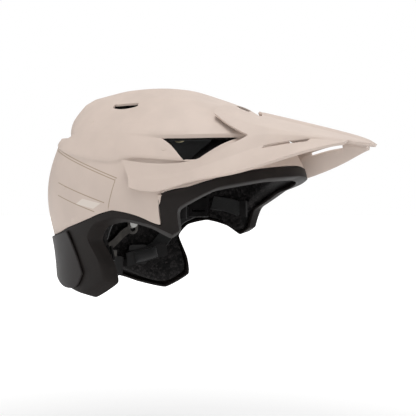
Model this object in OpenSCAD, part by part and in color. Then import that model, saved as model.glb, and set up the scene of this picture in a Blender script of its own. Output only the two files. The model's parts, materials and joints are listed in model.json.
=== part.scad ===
// Mountain bike helmet with a tilting visor, a fit dial and stowed chin straps.
// +X points to the front, +Y to the wearer's left, +Z up.
// The origin is the middle of the head cavity, level with its widest ring.

/* [Helmet body] */
// Length of the body in front of the origin
front_len = 144; // [138:1:150]
// Length of the body behind the origin
rear_len = 144; // [138:1:150]
// Half width of the body at its widest ring
half_w = 103; // [100:0.5:108]
// Height of the crown above the widest ring
crown_h = 114; // [110:0.5:118]
// How far the crown lies behind the origin
crown_back = 24; // [18:1:30]
// Wall of the painted outer shell
shell_wall = 2.4; // [1.8:0.1:3]
// Wall of the black lower shell
lower_wall = 2.4; // [1.8:0.1:3]
// How far the lower shell turns in under the foam
rim_turn = 10; // [7:0.5:13]
// Wall of the rear cover
cover_wall = 3.4; // [2.4:0.2:4.4]
// How far the spoiler stands off the body
spoiler_rise = 7; // [5:0.5:9]
// Depth of the notch under the spoiler
notch_depth = 12; // [9:0.5:14]
// Depth of the recess that a side vent lies in
vent_recess = 2.5; // [1.5:0.25:3.5]
// Gap between pieces that are bonded or laid on each other
seat_gap = 0.3; // [0.2:0.05:0.4]
// Gap between the foam and the shells' inner faces
foam_gap = 0.95; // [0.8:0.05:1]

/* [Head cavity] */
// Half length of the cavity
cavity_len = 107; // [104:0.5:110]
// Half width of the cavity
cavity_w = 82; // [79:0.5:84]
// Height of the cavity's crown above the widest ring
cavity_h = 86; // [82:0.5:90]
// Wall of the low friction liner
slip_wall = 1.2; // [0.8:0.1:1.6]
// Thickness of the comfort pads
pad_t = 6.5; // [5:0.5:8]
// Radius of the liner's elastic anchors
anchor_r = 6; // [4:0.5:8]

/* [Visor] */
// Wall of the visor
visor_wall = 2.6; // [2.2:0.1:3.2]
// Free gap between the visor's arms and the shell
visor_gap = 2.2; // [1.6:0.1:3]
// How far the visor reaches in front of the origin
visor_reach = 217; // [205:1:225]
// Distance of the visor's pivot in front of the origin
pivot_x = 26; // [22:1:30]
// Height of the visor's pivot
pivot_z = 14; // [10:1:18]
// Radius of the visor's pivot pins
pin_r = 4; // [3:0.25:5]
// Running clearance round a pin
pin_clear = 0.05; // [0.03:0.01:0.09]
// Wall of the bush that a pin turns in
bush_wall = 3; // [2:0.25:4]

/* [Fit system] */
// Radius of the dial
dial_r = 14.5; // [12:0.5:16]
// Thickness of the dial
dial_t = 7; // [5:0.5:9]
// Height of the dial's axis, below the widest ring
dial_drop = 76; // [72:1:80]
// Pitch radius of the dial's pinion
pinion_r = 4.2; // [3.6:0.2:5]
// Number of teeth on the pinion, even so that both bands mesh alike
pinion_teeth = 10; // [8:2:12]
// Height of the fit bands
band_h = 15; // [12:1:18]
// Wall of the fit bands
band_t = 2; // [1.6:0.1:2.4]

/* [Chin straps] */
// Width of the webbing
web_w = 15; // [12:1:18]
// Thickness of the webbing
web_t = 1.6; // [1.2:0.1:2]
// Thickness of the buckle's halves
buckle_t = 7; // [6:0.5:8]

/* [Hidden] */

$fn = 48;
// Roundness of the plan and of the dome, where 1 is an ellipse
roundness = 0.93;
// Height of one degree of level below the widest ring
level_step = 2;
// Share of its reach that the body loses far below the widest ring
body_fall = 0.24;
cavity_fall = 0.16;
// Level at which half of that share is lost
fall_level = 20;
// How far the cavity's crown lies behind the origin
cavity_back = 8;
skin = max(shell_wall, lower_wall);

// Outline of the lowest rim, from the front to the rear: angle and height
rim_line = [
    [0, 13], [25, 10], [50, 1], [61.5, -16], [64, -34], [69.5, -41.5], [81, -32], [93, -26],
    [104, -31], [109.5, -44], [105.5, -68], [104.5, -88], [116.5, -101], [136, -95], [158, -92], [180, -92]
];
// Lower edge of the painted shell, point for point above the rim
edge_line = [
    [0, 30], [22, 27], [44, 21], [64, 8], [74, 0], [73.5, -28], [83, -21], [94.5, -14],
    [107, -22], [115, -27], [121, -30], [127, -33], [134, -37], [146, -40], [163, -42], [180, -43]
];
// Rings between the rim and the painted shell's edge, and from there to the belt
lower_rows = 3;
fill_rows = 4;
// How far the lines between the edge and the belt keep behind the temple's upright edge, by outline point
temple_push = [[3, 0], [4, 1.75], [4.5, 5.5], [5, 7.5], [6, 3], [7, 0]];
// Points between two outline points
line_steps = 2;

// The painted shell is lofted through lines from its edge to the crown. A column crosses them at these angles,
// one for each outline point: at the belt, at the side vent's top and from the ridge up
belt_angles = [0, 20, 41, 60, 62.5, 65, 78, 90, 100, 109, 118, 127, 137, 150, 165, 180];
vent_angles = [0, 9.5, 24, 34, 52, 70.6, 81, 91, 101, 110, 119, 128, 138, 150, 168, 180];
crown_angles = [0, 9.5, 22, 35, 50, 65, 78, 91.5, 101, 110.5, 120, 130, 141, 153, 167, 180];
belt_step = 1.2;
vent_lip = 2.5;
// Heights of the lines by angle, and how far the shell stands off the body there
belt_z = [[0, 48], [30, 46], [57, 31], [66, 31], [88, 36], [95, 31.5], [110, 37], [160, 58], [180, 62]];
corner_z = [[0, 53], [40, 50], [90, 50], [130, 56], [160, 64], [180, 67]];
vent_z = [[0, 56], [34, 56.5], [70, 55], [90, 59], [130, 66], [180, 74]];
brow_z = [[0, 75], [24, 72], [34, 71], [60, 76], [90, 79], [130, 79], [180, 82]];
ridge_z = [[0, 88], [30, 86], [60, 89], [90, 89], [112, 88], [130, 93], [180, 99]];
crest_z = [[0, 97], [30, 93], [60, 95.5], [90, 97.5], [112, 97], [130, 100], [180, 103.5]];
crown_z = [[0, 108], [90, 109], [180, 110]];
recess_off = [[0, 0], [22, 0], [34, -1], [74, -1], [90, 0], [180, 0]];
notch_off = [[0, 0], [118, 0], [140, -0.6], [155, -0.95], [180, -1]];
rise_off = [[0, 0], [112, 0.1], [140, 0.7], [155, 1], [180, 1]];
ridge_rise = 2;
ridge_off = [[0, 0], [30, 0], [60, 0.7], [95, 1], [112, 1], [130, 0], [180, 0]];
crown_rise = 1.5;

function mix(a, b, t) = a + (b - a) * t;
function curl(v, e) = sign(v) * pow(abs(v), e);
function last(list) = list[len(list) - 1];

// Smooth curve through the outline's points
function bend(a, b, c, d, t) = 0.5 * (2 * b + (c - a) * t + (2 * a - 5 * b + 4 * c - d) * t * t
    + (3 * b - a - 3 * c + d) * t * t * t);
function smooth_line(pts, steps) = concat([
    for (i = [0:len(pts) - 2], s = [0:steps - 1])
        bend(pts[max(i - 1, 0)], pts[i], pts[i + 1], pts[min(i + 2, len(pts) - 1)], s / steps)
], [last(pts)]);
function mirrored(half) = concat(half, [for (i = [len(half) - 2:-1:1]) [360 - half[i][0], half[i][1]]]);

// A level is an angle: 0 at the widest ring, 90 at the crown, below 0 under the ring
function reach_at(w, fall) =
    w >= 0 ? pow(max(cos(w), 0), roundness) : 1 - fall * (1 - 1 / (1 + pow(w / fall_level, 2)));
function height_at(w, h) = w >= 0 ? h * pow(sin(w), roundness) : level_step * w;
function level_of(z, h) = z < 0 ? z / level_step : asin(pow(min(z / h, 1), 1 / roundness));
function dome_point(t, w, fore, aft, side, h, back, fall, off) =
    let (r = reach_at(w, fall), shift = w > 0 ? back * pow(sin(w), 2) : 0)
    [
        ((cos(t) > 0 ? fore : aft) + off) * curl(cos(t), roundness) * r - shift,
        (side + off) * curl(sin(t), roundness) * r,
        height_at(w, h + off)
    ];
function on_body(t, w, off) =
    dome_point(t, w, front_len, rear_len, half_w, crown_h, crown_back, body_fall, off);
function on_cavity(t, w, off) =
    dome_point(t, w, cavity_len, cavity_len, cavity_w, cavity_h, cavity_back, cavity_fall, off);
// Point on the body or in the cavity at an angle and a height
function body_at(p, off) = on_body(p[0], level_of(p[1], crown_h), off);
function cavity_at(p, off) = on_cavity(p[0], level_of(p[1], cavity_h), off);
// Half width of the body at a distance in front of the origin and a height
function body_y(x, z) =
    let (
        w = level_of(z, crown_h),
        r = reach_at(w, body_fall),
        shift = w > 0 ? crown_back * pow(sin(w), 2) : 0,
        c = min(1, pow(abs(x + shift) / (front_len * r), 1 / roundness))
    )
    half_w * pow(sin(acos(c)), roundness) * r;

// Height of the body over a place in plan: the level is found in a few rounds
function body_level(x, y, w = 45, rounds = 8) =
    rounds == 0 ? w
        : let (
            across = pow(abs(x + crown_back * pow(sin(w), 2)) / front_len, 2 / roundness),
            aside = pow(abs(y) / half_w, 2 / roundness)
        )
        body_level(x, y, acos(min(1, sqrt(across + aside))), rounds - 1);
function body_z(x, y) = height_at(body_level(x, y), crown_h);

rim_ring = mirrored(smooth_line(rim_line, line_steps));
edge_ring = mirrored(smooth_line(edge_line, line_steps));
columns = len(rim_ring);

// Millimetres along the body in one degree of angle, about
rim_step = 1.7;
// Point i of an outline moved square to the outline, up for a positive distance
function moved(ring, i, d) =
    d == 0 ? ring[i]
        : let (
            n = len(ring),
            p = ring[(i + n - 1) % n],
            q = ring[(i + 1) % n],
            turn = q[0] - p[0],
            run = [(turn < -180 ? turn + 360 : turn) * rim_step, q[1] - p[1]]
        )
        ring[i] + [-run[1] / rim_step, run[0]] * d / norm(run);

// Angle and level of column i on ring j, counted up from the rim. The rim can be lifted and the edge dropped
function grid_at(i, j, lift, drop = 0) =
    let (v = j / lower_rows, p = moved(rim_ring, i, lift), q = moved(edge_ring, i, -drop))
    [mix(p[0], q[0], v), mix(level_of(p[1], crown_h), level_of(q[1], crown_h), v)];
// The same for the lines above the edge, with the distance off the body as a third value
function halved(list) = concat(
    [for (i = [0:len(list) - 2], s = [0, 1]) mix(list[i], list[i + 1], s / 2)], [last(list)]
);
function across(half) = concat(half, [for (i = [len(half) - 2:-1:1]) 360 - half[i]]);
function folded(t) = t > 180 ? 360 - t : t;
belt_ring = across(halved(belt_angles));
vent_ring = across(halved(vent_angles));
crown_ring = across(halved(crown_angles));
function off_at(a, row) =
    row == 0 ? -belt_step
        : row == 2 ? vent_recess / 2 * lookup(a, recess_off)
        : row == 3 ? vent_recess * lookup(a, recess_off) + notch_depth * lookup(a, notch_off)
        : row == 4 ? notch_depth * 0.7 * lookup(a, notch_off)
        : row == 5 ? spoiler_rise * 0.1 * lookup(a, rise_off)
        : row == 6 ? spoiler_rise * lookup(a, rise_off)
        : row == 7 ? spoiler_rise * lookup(a, rise_off) + ridge_rise * lookup(a, ridge_off)
        : row == 8 ? crown_rise + (spoiler_rise - crown_rise) * 0.5 * lookup(a, rise_off) : 0;
function z_at(a, row) =
    row == 0 ? lookup(a, belt_z)
        : row == 1 ? lookup(a, belt_z) + belt_step
        : row == 2 ? lookup(a, corner_z)
        : row == 3 ? lookup(a, vent_z)
        : row == 4 ? lookup(a, vent_z) + vent_lip
        : row == 5 ? lookup(a, brow_z)
        : row == 6 ? lookup(a, ridge_z)
        : row == 7 ? lookup(a, crest_z) : lookup(a, crown_z);
upper_rows = 9;
function line_at(i, row) =
    let (
        t = row < 2 ? belt_ring[i]
            : row == 2 ? mix(belt_ring[i], vent_ring[i], 0.55)
            : row < 5 ? vent_ring[i] : crown_ring[i],
        a = folded(t)
    )
    [t, level_of(z_at(a, row), crown_h), off_at(a, row)];
// The lines that fill the way from the edge to the belt
function fill_at(i, k) =
    let (
        p = edge_ring[i],
        push = lookup(min(i, columns - i) / line_steps, temple_push) * sin(180 * k / fill_rows)
    )
    mix([p[0], level_of(p[1], crown_h), 0], line_at(i, 0), k / fill_rows)
        + [i < columns / 2 ? push : -push, 0, 0];

function body_ring(j, off, lift = 0, drop = 0) =
    [for (i = [0:columns - 1]) let (g = grid_at(i, j, lift, drop)) on_body(g[0], g[1], off)];
function cavity_ring(j, off, lift = 0) =
    [for (i = [0:columns - 1]) let (g = grid_at(i, j, lift)) on_cavity(g[0], inner_level(g[1]), off)];
// Height of a line on the cavity's wall for its height on the body, so that a side vent runs level
inner_z = [
    [-120, -120], [58, 58], [72, 63.5], [88, 70], [96, 74.5], [103, 78.5], [110, 82.5], [114, 86]
];
function inner_level(w) = level_of(lookup(height_at(w, crown_h), inner_z), cavity_h);
// Lines above the edge: the filling ones count as rows below 0
function upper_at(i, row) = row < 0 ? fill_at(i, fill_rows + row) : line_at(i, row);
function body_line(row, off) =
    [for (i = [0:columns - 1]) let (g = upper_at(i, row)) on_body(g[0], g[1], off + g[2])];
function cavity_line(row, off) =
    [for (i = [0:columns - 1]) let (g = upper_at(i, row)) on_cavity(g[0], inner_level(g[1]), off)];

// Faces between ring a and the next ring b, both of n points
function band_faces(a, b, n) = [
    for (i = [0:n - 1], s = [0, 1])
        let (k = (i + 1) % n)
        s == 0 ? [a * n + i, b * n + k, b * n + i] : [a * n + i, a * n + k, b * n + k]
];
// Solid of a closed section carried round a ring: rings is a list of rings
module ring_loft(rings) {
    n = len(rings[0]);
    m = len(rings);
    polyhedron(
        points = [for (r = rings) each r],
        faces = [for (j = [0:m - 1]) each band_faces(j, (j + 1) % m, n)],
        convexity = 10
    );
}
// The vents as cells that are left out: the line below them, and the first and last cell from the front
vent_cells = [
    [1, 6, 9], [2, 6, 9],
    [4, 2, 3],
    [2, 26, 27],
    [6, 14, 17],
    [6, 0, 1]
];
function is_vent(i, row) =
    let (c = min(i, columns - 1 - i))
    len([for (v = vent_cells) if (v[0] == row && c >= v[1] && c <= v[2]) v]) > 0;
// The two triangles of a four-sided face
function split(a, b, c, d) = [[a, b, c], [a, c, d]];
// Solid between two domes that are cut into the same cells: lists of rings from the bottom up, and the two crown
// points. The vents' cells are left out and walled. The belt's ring is number base
module vented_dome(outer, inner, top, under, base) {
    m = len(outer);
    n = columns;
    total = m * n;
    polyhedron(
        points = concat([for (r = outer) each r], [for (r = inner) each r], [top, under]),
        faces = [
            for (j = [0:m - 2], i = [0:n - 1])
                let (
                    k = (i + 1) % n,
                    a = j * n + i,
                    b = j * n + k,
                    c = a + n,
                    d = b + n,
                    row = j - base,
                    before = (i + n - 1) % n
                )
                each is_vent(i, row)
                    ? concat(
                        is_vent(i, row - 1) ? [] : split(b, a, total + a, total + b),
                        is_vent(i, row + 1) ? [] : split(c, d, total + d, total + c),
                        is_vent(before, row) ? [] : split(a, c, total + c, total + a),
                        is_vent(k, row) ? [] : split(d, b, total + b, total + d)
                    )
                    : [
                        [c, d, a], [d, b, a],
                        [total + a, total + b, total + d], [total + a, total + d, total + c]
                    ],
            for (i = [0:n - 1])
                let (k = (i + 1) % n, c = (m - 1) * n)
                each concat(
                    split(i, k, total + k, total + i),
                    [[2 * total, c + k, c + i], [2 * total + 1, total + c + i, total + c + k]]
                )
        ],
        convexity = 10
    );
}
// Plate between an outer and an inner grid of points, each a list of equal rows
module plate(outer, inner) {
    m = len(outer);
    n = len(outer[0]);
    total = m * n;
    polyhedron(
        points = concat([for (r = outer) each r], [for (r = inner) each r]),
        faces = concat(
            [for (j = [0:m - 2], i = [0:n - 2], f = [0:1])
                let (a = j * n + i) f == 0 ? [a, a + n + 1, a + n] : [a, a + 1, a + n + 1]],
            [for (j = [0:m - 2], i = [0:n - 2], f = [0:1])
                let (a = total + j * n + i) f == 0 ? [a, a + n, a + n + 1] : [a, a + n + 1, a + 1]],
            [for (i = [0:n - 2], f = [0:1])
                f == 0 ? [i, total + i + 1, i + 1] : [i, total + i, total + i + 1]],
            [for (i = [0:n - 2], f = [0:1])
                let (a = (m - 1) * n + i) f == 0 ? [a, a + 1, total + a + 1] : [a, total + a + 1, total + a]],
            [for (j = [0:m - 2], f = [0:1])
                let (a = j * n) f == 0 ? [a, total + a + n, total + a] : [a, a + n, total + a + n]],
            [for (j = [0:m - 2], f = [0:1])
                let (a = j * n + n - 1) f == 0 ? [a, total + a, total + a + n] : [a, total + a + n, a + n]]
        ),
        convexity = 10
    );
}

bush_r = pin_r + pin_clear + bush_wall;
bush_len = 9;
bush_face = 0.6;
pivot_y = body_y(pivot_x, pivot_z);

module at_pivots() {
    for (side = [1, -1]) translate([pivot_x, side * pivot_y, pivot_z]) rotate([side * -90, 0, 0]) children();
}
module bush_pockets() {
    at_pivots() translate([0, 0, -bush_len - seat_gap]) cylinder(r = bush_r + seat_gap, h = bush_len + 4 * skin);
}

// Finger room behind the dial: how far in front of the origin it starts, its depth, half width and top
recess_x = -99;
recess_deep = 7;
recess_half = 18;
recess_top = -52;
module dial_recess() {
    translate([recess_x, -recess_half, recess_top - 60]) cube([recess_deep, 2 * recess_half, 60]);
}

module foam_liner() {
    off = -skin - foam_gap;
    lift = lower_wall + 4 * seat_gap;
    color("dimgray")
        difference() {
            vented_dome(
                concat(
                    [for (j = [0:lower_rows]) body_ring(j, off, lift)],
                    [for (row = [1 - fill_rows:upper_rows - 1]) body_line(row, off)]
                ),
                concat(
                    [for (j = [0:lower_rows]) cavity_ring(j, 0, lift)],
                    [for (row = [1 - fill_rows:upper_rows - 1]) cavity_line(row, 0)]
                ),
                on_body(0, 90, off + crown_rise),
                on_cavity(0, 90, 0),
                lower_rows + fill_rows
            );
            bush_pockets();
            dial_recess();
        }
}

module outer_shell() {
    color("tan")
        difference() {
            vented_dome(
                [for (row = [-fill_rows:upper_rows - 1]) body_line(row, 0)],
                [for (row = [-fill_rows:upper_rows - 1]) body_line(row, -shell_wall)],
                on_body(0, 90, crown_rise),
                on_body(0, 90, crown_rise - shell_wall),
                fill_rows
            );
            bush_pockets();
        }
}
// Ring of the rim a distance along the way from the body in to the cavity
function rim_lip(deep, lift) = [
    for (i = [0:columns - 1])
        let (
            g = grid_at(i, 0, lift),
            a = on_body(g[0], g[1], -seat_gap),
            b = on_cavity(g[0], inner_level(g[1]), 0)
        )
        a + (b - a) * deep / norm(b - a)
];
module lower_shell() {
    color("#262322")
        ring_loft(concat(
            [for (j = [lower_rows:-1:0]) body_ring(j, -seat_gap, 0, 2 * seat_gap)],
            [rim_lip(rim_turn + lower_wall, 0)],
            [rim_lip(rim_turn + lower_wall, lower_wall)],
            [rim_lip(lower_wall, lower_wall)],
            [for (j = [1:lower_rows]) body_ring(j, -lower_wall - seat_gap, lower_wall, 2 * seat_gap)]
        ));
}
// Solid plate between two lines of angle and height on the body or in the cavity
function between(lo, hi, rows) =
    [for (j = [rows:-1:0]) [for (i = [0:len(lo) - 1]) mix(lo[i], hi[i], j / rows)]];
module body_patch(lo, hi, rows, top, bottom) {
    grid = between(lo, hi, rows);
    plate(
        [for (r = grid) [for (p = r) body_at(p, top)]],
        [for (r = grid) [for (p = r) body_at(p, bottom)]]
    );
}
module cavity_patch(lo, hi, rows, top, bottom) {
    grid = between(lo, hi, rows);
    plate(
        [for (r = grid) [for (p = r) cavity_at(p, -top)]],
        [for (r = grid) [for (p = r) cavity_at(p, -bottom)]]
    );
}
// A pad's free face swells from its sewn border to its middle
module pad_patch(lo, hi, rows, base, thick) {
    grid = between(lo, hi, rows);
    n = len(lo) - 1;
    plate(
        [for (r = grid) [for (p = r) cavity_at(p, -base)]],
        [for (j = [0:rows]) [for (i = [0:n])
            let (swell = pow(sin(180 * i / n) * sin(180 * j / rows), 0.4))
            cavity_at(grid[j][i], -base - mix(thick * 0.35, thick, swell))]]
    );
}
function both_sides(half) = concat(half, [for (i = [len(half) - 2:-1:0]) [360 - half[i][0], half[i][1]]]);

cover_top = [[125, -35], [134, -38], [146, -41], [163, -43], [180, -44]];
cover_bottom = [[118, -78], [124, -92], [137, -94], [158, -91], [180, -91]];
module rear_cover() {
    color("#38302f")
        body_patch(
            both_sides(smooth_line(cover_bottom, 2)), both_sides(smooth_line(cover_top, 2)), 4,
            seat_gap + cover_wall, seat_gap
        );
}

// Lines of the visor's half, from the ridge out to the lower edge. Each point has its share of the way from the
// tip back to the pivot, its distance from the middle and its height. On a prong the height is counted from
// where it would lie on the shell, and on an arm the distance is.
visor_lines = [
    [[0, 0, 49], [0.042, 0, 55], [0.168, 0, 62], [0.298, 0, 69], [0.445, 0, 76.5], [0.586, 0, 83.5]],
    [
        [0.008, 12, 48.8], [0.047, 12, 54.6], [0.168, 12.5, 61.3], [0.298, 13, 68.3], [0.445, 13.5, 75.6],
        [0.581, 13.5, 82.6]
    ],
    [
        [0.013, 15, 48.5], [0.055, 15.5, 53], [0.173, 16, 59.3], [0.304, 16.5, 66], [0.445, 17, 73],
        [0.571, 17.5, 79.5]
    ],
    [
        [0.052, 24, 49.5], [0.085, 25, 53], [0.2, 27, 58], [0.315, 28, 64], [0.43, 28, 70], [0.545, 27, 76],
        [0.65, 33, 3.5], [0.72, 39, 2.5]
    ],
    [
        [0.084, 30, 50.3], [0.11, 36, 52], [0.204, 41, 55.5], [0.309, 45.5, 57.5], [0.424, 49.5, 62],
        [0.55, 51, 67.5],
        [0.65, 53, 4.5], [0.735, 56, 3.5]
    ],
    [
        [0.085, 31.5, 50.1], [0.112, 38, 51.5], [0.209, 43.5, 54.5], [0.314, 48, 56.3], [0.437, 52.5, 59.8],
        [0.545, 60, 57], [0.65, 60, 3], [0.73, 59, 2.5]
    ],
    [
        [0.086, 33, 49.8], [0.115, 39.5, 50.6], [0.215, 44.5, 53.6], [0.319, 49.2, 55], [0.44, 54.5, 58],
        [0.548, 61.5, 55.5], [0.66, 1, 41.5], [0.77, 1.5, 29.5], [0.93, 1.8, 28], [1.08, 2, 31]
    ],
    [
        [0.088, 35, 49.3], [0.12, 42, 49.2], [0.246, 46, 52.2], [0.34, 51.5, 51], [0.455, 61, 46.5],
        [0.55, 70.5, 40], [0.66, 1, 31], [0.77, 1, 22], [0.906, 1.5, 17], [1.052, 1, 22]
    ],
    [
        [0.09, 37, 48.8], [0.126, 45, 47.8], [0.254, 50, 49.4], [0.348, 55.5, 47.8], [0.461, 64, 43.5],
        [0.552, 72.5, 38], [0.66, 1.5, 28.5], [0.77, 1.5, 19.5], [0.906, 2, 14], [1.047, 1, 19]
    ],
    [
        [0.092, 40, 48], [0.141, 50, 46], [0.26, 69, 38.5], [0.37, 77.5, 31], [0.46, 82.5, 25.5],
        [0.55, 87, 20.5], [0.65, 5, 17], [0.77, 3, 13], [0.906, 2.6, 1], [1.04, 2.4, 10]
    ]
];
visor_lean = [0, 3, 8, 14, 30, 40, 50, 60, 58, 74];
// Cells in each strip between two lines. The strip between prong and arm ends early, at the notch
visor_cells = [5, 5, 5, 7, 7, 5, 9, 9, 9];
// First point of each line that lies on a prong, and on an arm
prong_from = [99, 99, 99, 6, 6, 6, 99, 99, 99, 99];
arm_from = [99, 99, 99, 99, 99, 99, 6, 6, 6, 6];
// The air slot: its strip, and its first and last cell
visor_slot = [7, 2, 3];

function visor_point(k, j, side, deep) =
    let (
        p = visor_lines[k][j],
        x = mix(visor_reach, pivot_x, p[0]),
        on_arm = j >= arm_from[k],
        y = on_arm ? body_y(x, p[2]) + visor_gap + visor_wall + p[1] : p[1],
        z = j >= prong_from[k] ? body_z(x, y) + visor_gap + visor_wall + p[2] : p[2],
        lean = on_arm ? 88 : visor_lean[k]
    )
    [x, side * (y - deep * sin(lean)), z - deep * cos(lean)];
module visor() {
    half = len(visor_lines) - 1;
    lines = [for (k = [half:-1:-half + 0]) k];
    size = [for (k = lines) len(visor_lines[abs(k)])];
    first = [for (k = 0, s = 0; k < len(lines); s = s + size[k], k = k + 1) s];
    total = last(first) + last(size);
    pts = [for (deep = [0, visor_wall], k = lines, j = [0:len(visor_lines[abs(k)]) - 1])
        visor_point(abs(k), j, k < 0 ? -1 : 1, deep)];
    // Number of cells in the strip between line k and line k + 1, none outside the first and last line
    cells = [for (k = [-1:len(lines) - 1])
        k < 0 || k > len(lines) - 2 ? 0 : visor_cells[min(abs(lines[k]), abs(lines[k + 1]))]];
    function in_slot(k, j) =
        min(abs(lines[k]), abs(lines[k + 1])) == visor_slot[0] && j >= visor_slot[1] && j <= visor_slot[2];
    color("tan")
        polyhedron(
            points = pts,
            faces = concat(
                [for (k = [0:len(lines) - 2], j = [0:cells[k + 1] - 1])
                    let (a = first[k] + j, b = first[k + 1] + j, under_a = total + a, under_b = total + b)
                    each !in_slot(k, j)
                        ? concat(split(a, b, b + 1, a + 1), split(under_a, under_a + 1, under_b + 1, under_b))
                        : concat(
                            split(b, b + 1, under_b + 1, under_b),
                            split(a + 1, a, under_a, under_a + 1),
                            j == visor_slot[1] ? split(a, b, under_b, under_a) : [],
                            j == visor_slot[2] ? split(b + 1, a + 1, under_a + 1, under_b + 1) : []
                        )],
                [for (k = [0:len(lines) - 2], f = [0, 1])
                    let (a = first[k], b = first[k + 1]) f == 0 ? [a, total + a, total + b] : [a, total + b, b]],
                [for (k = [0:len(lines) - 2], f = [0, 1])
                    let (a = first[k] + cells[k + 1], b = first[k + 1] + cells[k + 1])
                    f == 0 ? [a, total + b, total + a] : [a, b, total + b]],
                [for (k = [0:len(lines) - 1], f = [0, 1])
                    let (
                        lo = min(cells[k], cells[k + 1]),
                        hi = max(cells[k], cells[k + 1]),
                        left = cells[k] > cells[k + 1]
                    )
                    if (hi > lo) for (j = [lo:hi - 1])
                        let (a = first[k] + j)
                        left
                            ? (f == 0 ? [a, a + 1 + total, a + 1] : [a, a + total, a + 1 + total])
                            : (f == 0 ? [a, a + 1, a + 1 + total] : [a, a + 1 + total, a + total])]
            ),
            convexity = 10
        );
}
module visor_pins() {
    boss = bush_face + seat_gap;
    inner = visor_gap + 2;
    color("#1e1c1b")
        at_pivots() {
            translate([0, 0, boss]) cylinder(r = bush_r - 0.5, h = inner - boss);
            translate([0, 0, -bush_len + 2.4]) cylinder(r = pin_r, h = bush_len - 2.4 + inner);
        }
}
module pivot_bushes() {
    color("#1e1c1b")
        at_pivots()
            translate([0, 0, -bush_len])
                difference() {
                    cylinder(r = bush_r, h = bush_len + bush_face);
                    translate([0, 0, 2]) cylinder(r = pin_r + pin_clear, h = bush_len + visor_gap);
                }
}

// Low friction liner inside the foam
slip_line = 13;
slip_front = 19;
// The liner floats this far off the foam
slip_gap = 1.25;
slip_rows = 3;
// Ring k of the liner below its vents, counted up from its free edge
function slip_ring(k, off) = [
    for (i = [0:columns - 1])
        let (
            z = mix(slip_line, slip_front, pow(max(cos(belt_ring[i]), 0), 2)),
            w = mix(level_of(z, cavity_h), inner_level(line_at(i, 1)[1]), k / slip_rows)
        )
        on_cavity(belt_ring[i], w, off)
];
function slip_skin(off) = concat(
    [for (k = [0:slip_rows - 1]) slip_ring(k, off)], [for (row = [1:upper_rows - 1]) cavity_line(row, off)]
);
module slip_liner() {
    color("#8a8a86")
        vented_dome(
            slip_skin(-slip_gap),
            slip_skin(-slip_gap - slip_wall),
            on_cavity(0, 90, -slip_gap),
            on_cavity(0, 90, -slip_gap - slip_wall),
            slip_rows - 1
        );
}
slip_in = slip_gap + slip_wall + 0.9;
// Stands children on the cavity's wall, their +Z pointing in to the head
module on_wall(t, z, deep) {
    p = cavity_at([t, z], -deep);
    w = level_of(z, cavity_h);
    translate(p)
        rotate([0, 0, atan2(sin(t) / cavity_w, cos(t) / cavity_len)])
            rotate([0, -90 - (w > 0 ? w : 0), 0])
                children();
}
module liner_anchors() {
    color("#d8c23a")
        for (t = [62, 118, 242, 298])
            on_wall(t, 60, slip_in + 0.2) cylinder(r = anchor_r, h = 1.4);
}
function pad_line(a, b, z, n) = [for (i = [0:n]) [mix(a, b, i / n), z]];
module brow_pad() {
    color("#222222") pad_patch(pad_line(-46, 46, 20, 12), pad_line(-46, 46, 36, 12), 4, slip_in, pad_t);
}
module front_crown_pad() {
    color("#222222") pad_patch(pad_line(-38, 38, 66, 8), pad_line(-34, 34, 76, 8), 4, slip_in, pad_t);
}
module rear_crown_pad() {
    color("#222222") pad_patch(pad_line(142, 218, 60, 8), pad_line(146, 214, 74, 8), 4, slip_in, pad_t);
}
module side_pad(side) {
    mid = 90 * side;
    color("#222222")
        pad_patch(pad_line(mid - 16, mid + 30, 15, 8), pad_line(mid - 14, mid + 26, 33, 8), 4, slip_in, pad_t);
}
module side_pad_left() { side_pad(1); }
module side_pad_right() { mirror([0, 1, 0]) side_pad(1); }

// Lines on both sides of a strap's middle line, where a degree is about this many millimetres
wall_step = 1.5;
function strap_edge(path, half) = [
    for (i = [0:len(path) - 1])
        let (
            d = path[min(i + 1, len(path) - 1)] - path[max(i - 1, 0)],
            run = [d[0] * wall_step, d[1]],
            n = [-run[1], run[0]] / norm(run)
        )
        [path[i][0] + n[0] * half / wall_step, path[i][1] + n[1] * half]
];
module webbing(path, deep) {
    line = smooth_line(path, 4);
    cavity_patch(strap_edge(line, -web_w / 2), strap_edge(line, web_w / 2), 1, deep, deep + web_t);
}
web_deep = 1.45;
front_path = [[68, -14], [78, -9], [89, -6]];
rear_path = [[103, 1], [118, -2], [133, -10]];
chin_path = [[102, -16.5], [111, -25], [119, -42], [127, -56], [134, -62]];
module left_or_right(side) {
    if (side > 0) children();
    else mirror([0, 1, 0]) children();
}
module front_strap(side) { color("#1b1b1b") left_or_right(side) webbing(front_path, web_deep); }
module rear_strap(side) { color("#1b1b1b") left_or_right(side) webbing(rear_path, web_deep); }
module chin_strap(side) { color("#1b1b1b") left_or_right(side) webbing(chin_path, web_deep); }
module front_strap_left() { front_strap(1); }
module front_strap_right() { front_strap(-1); }
module rear_strap_left() { rear_strap(1); }
module rear_strap_right() { rear_strap(-1); }
module chin_strap_left() { chin_strap(1); }
module chin_strap_right() { chin_strap(-1); }

anchor_plate = [10, 18, 2.4];
module strap_anchors() {
    color("#141414")
        for (side = [1, -1], p = [[64.5, -13], [136.5, -12.5]])
            left_or_right(side)
                on_wall(p[0], p[1], web_deep + web_t + 0.5)
                    translate([0, 0, anchor_plate[2] / 2])
                        cube([anchor_plate[1], anchor_plate[0], anchor_plate[2]], center = true);
}
// The wall leans in below the widest ring, and the divider with it
divider_lean = 9;
module strap_divider(side) {
    color("#141414")
        left_or_right(side)
            on_wall(96, -7.5, web_deep + web_t + 1.2)
                rotate([0, divider_lean, 0])
                    difference() {
                        translate([0, 0, 1.5]) cube([30, 24, 3], center = true);
                        for (v = [-8, 8]) translate([v, 0, 0]) cube([3, 17, 9], center = true);
                    }
}
module strap_divider_left() { strap_divider(1); }
module strap_divider_right() { strap_divider(-1); }

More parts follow.
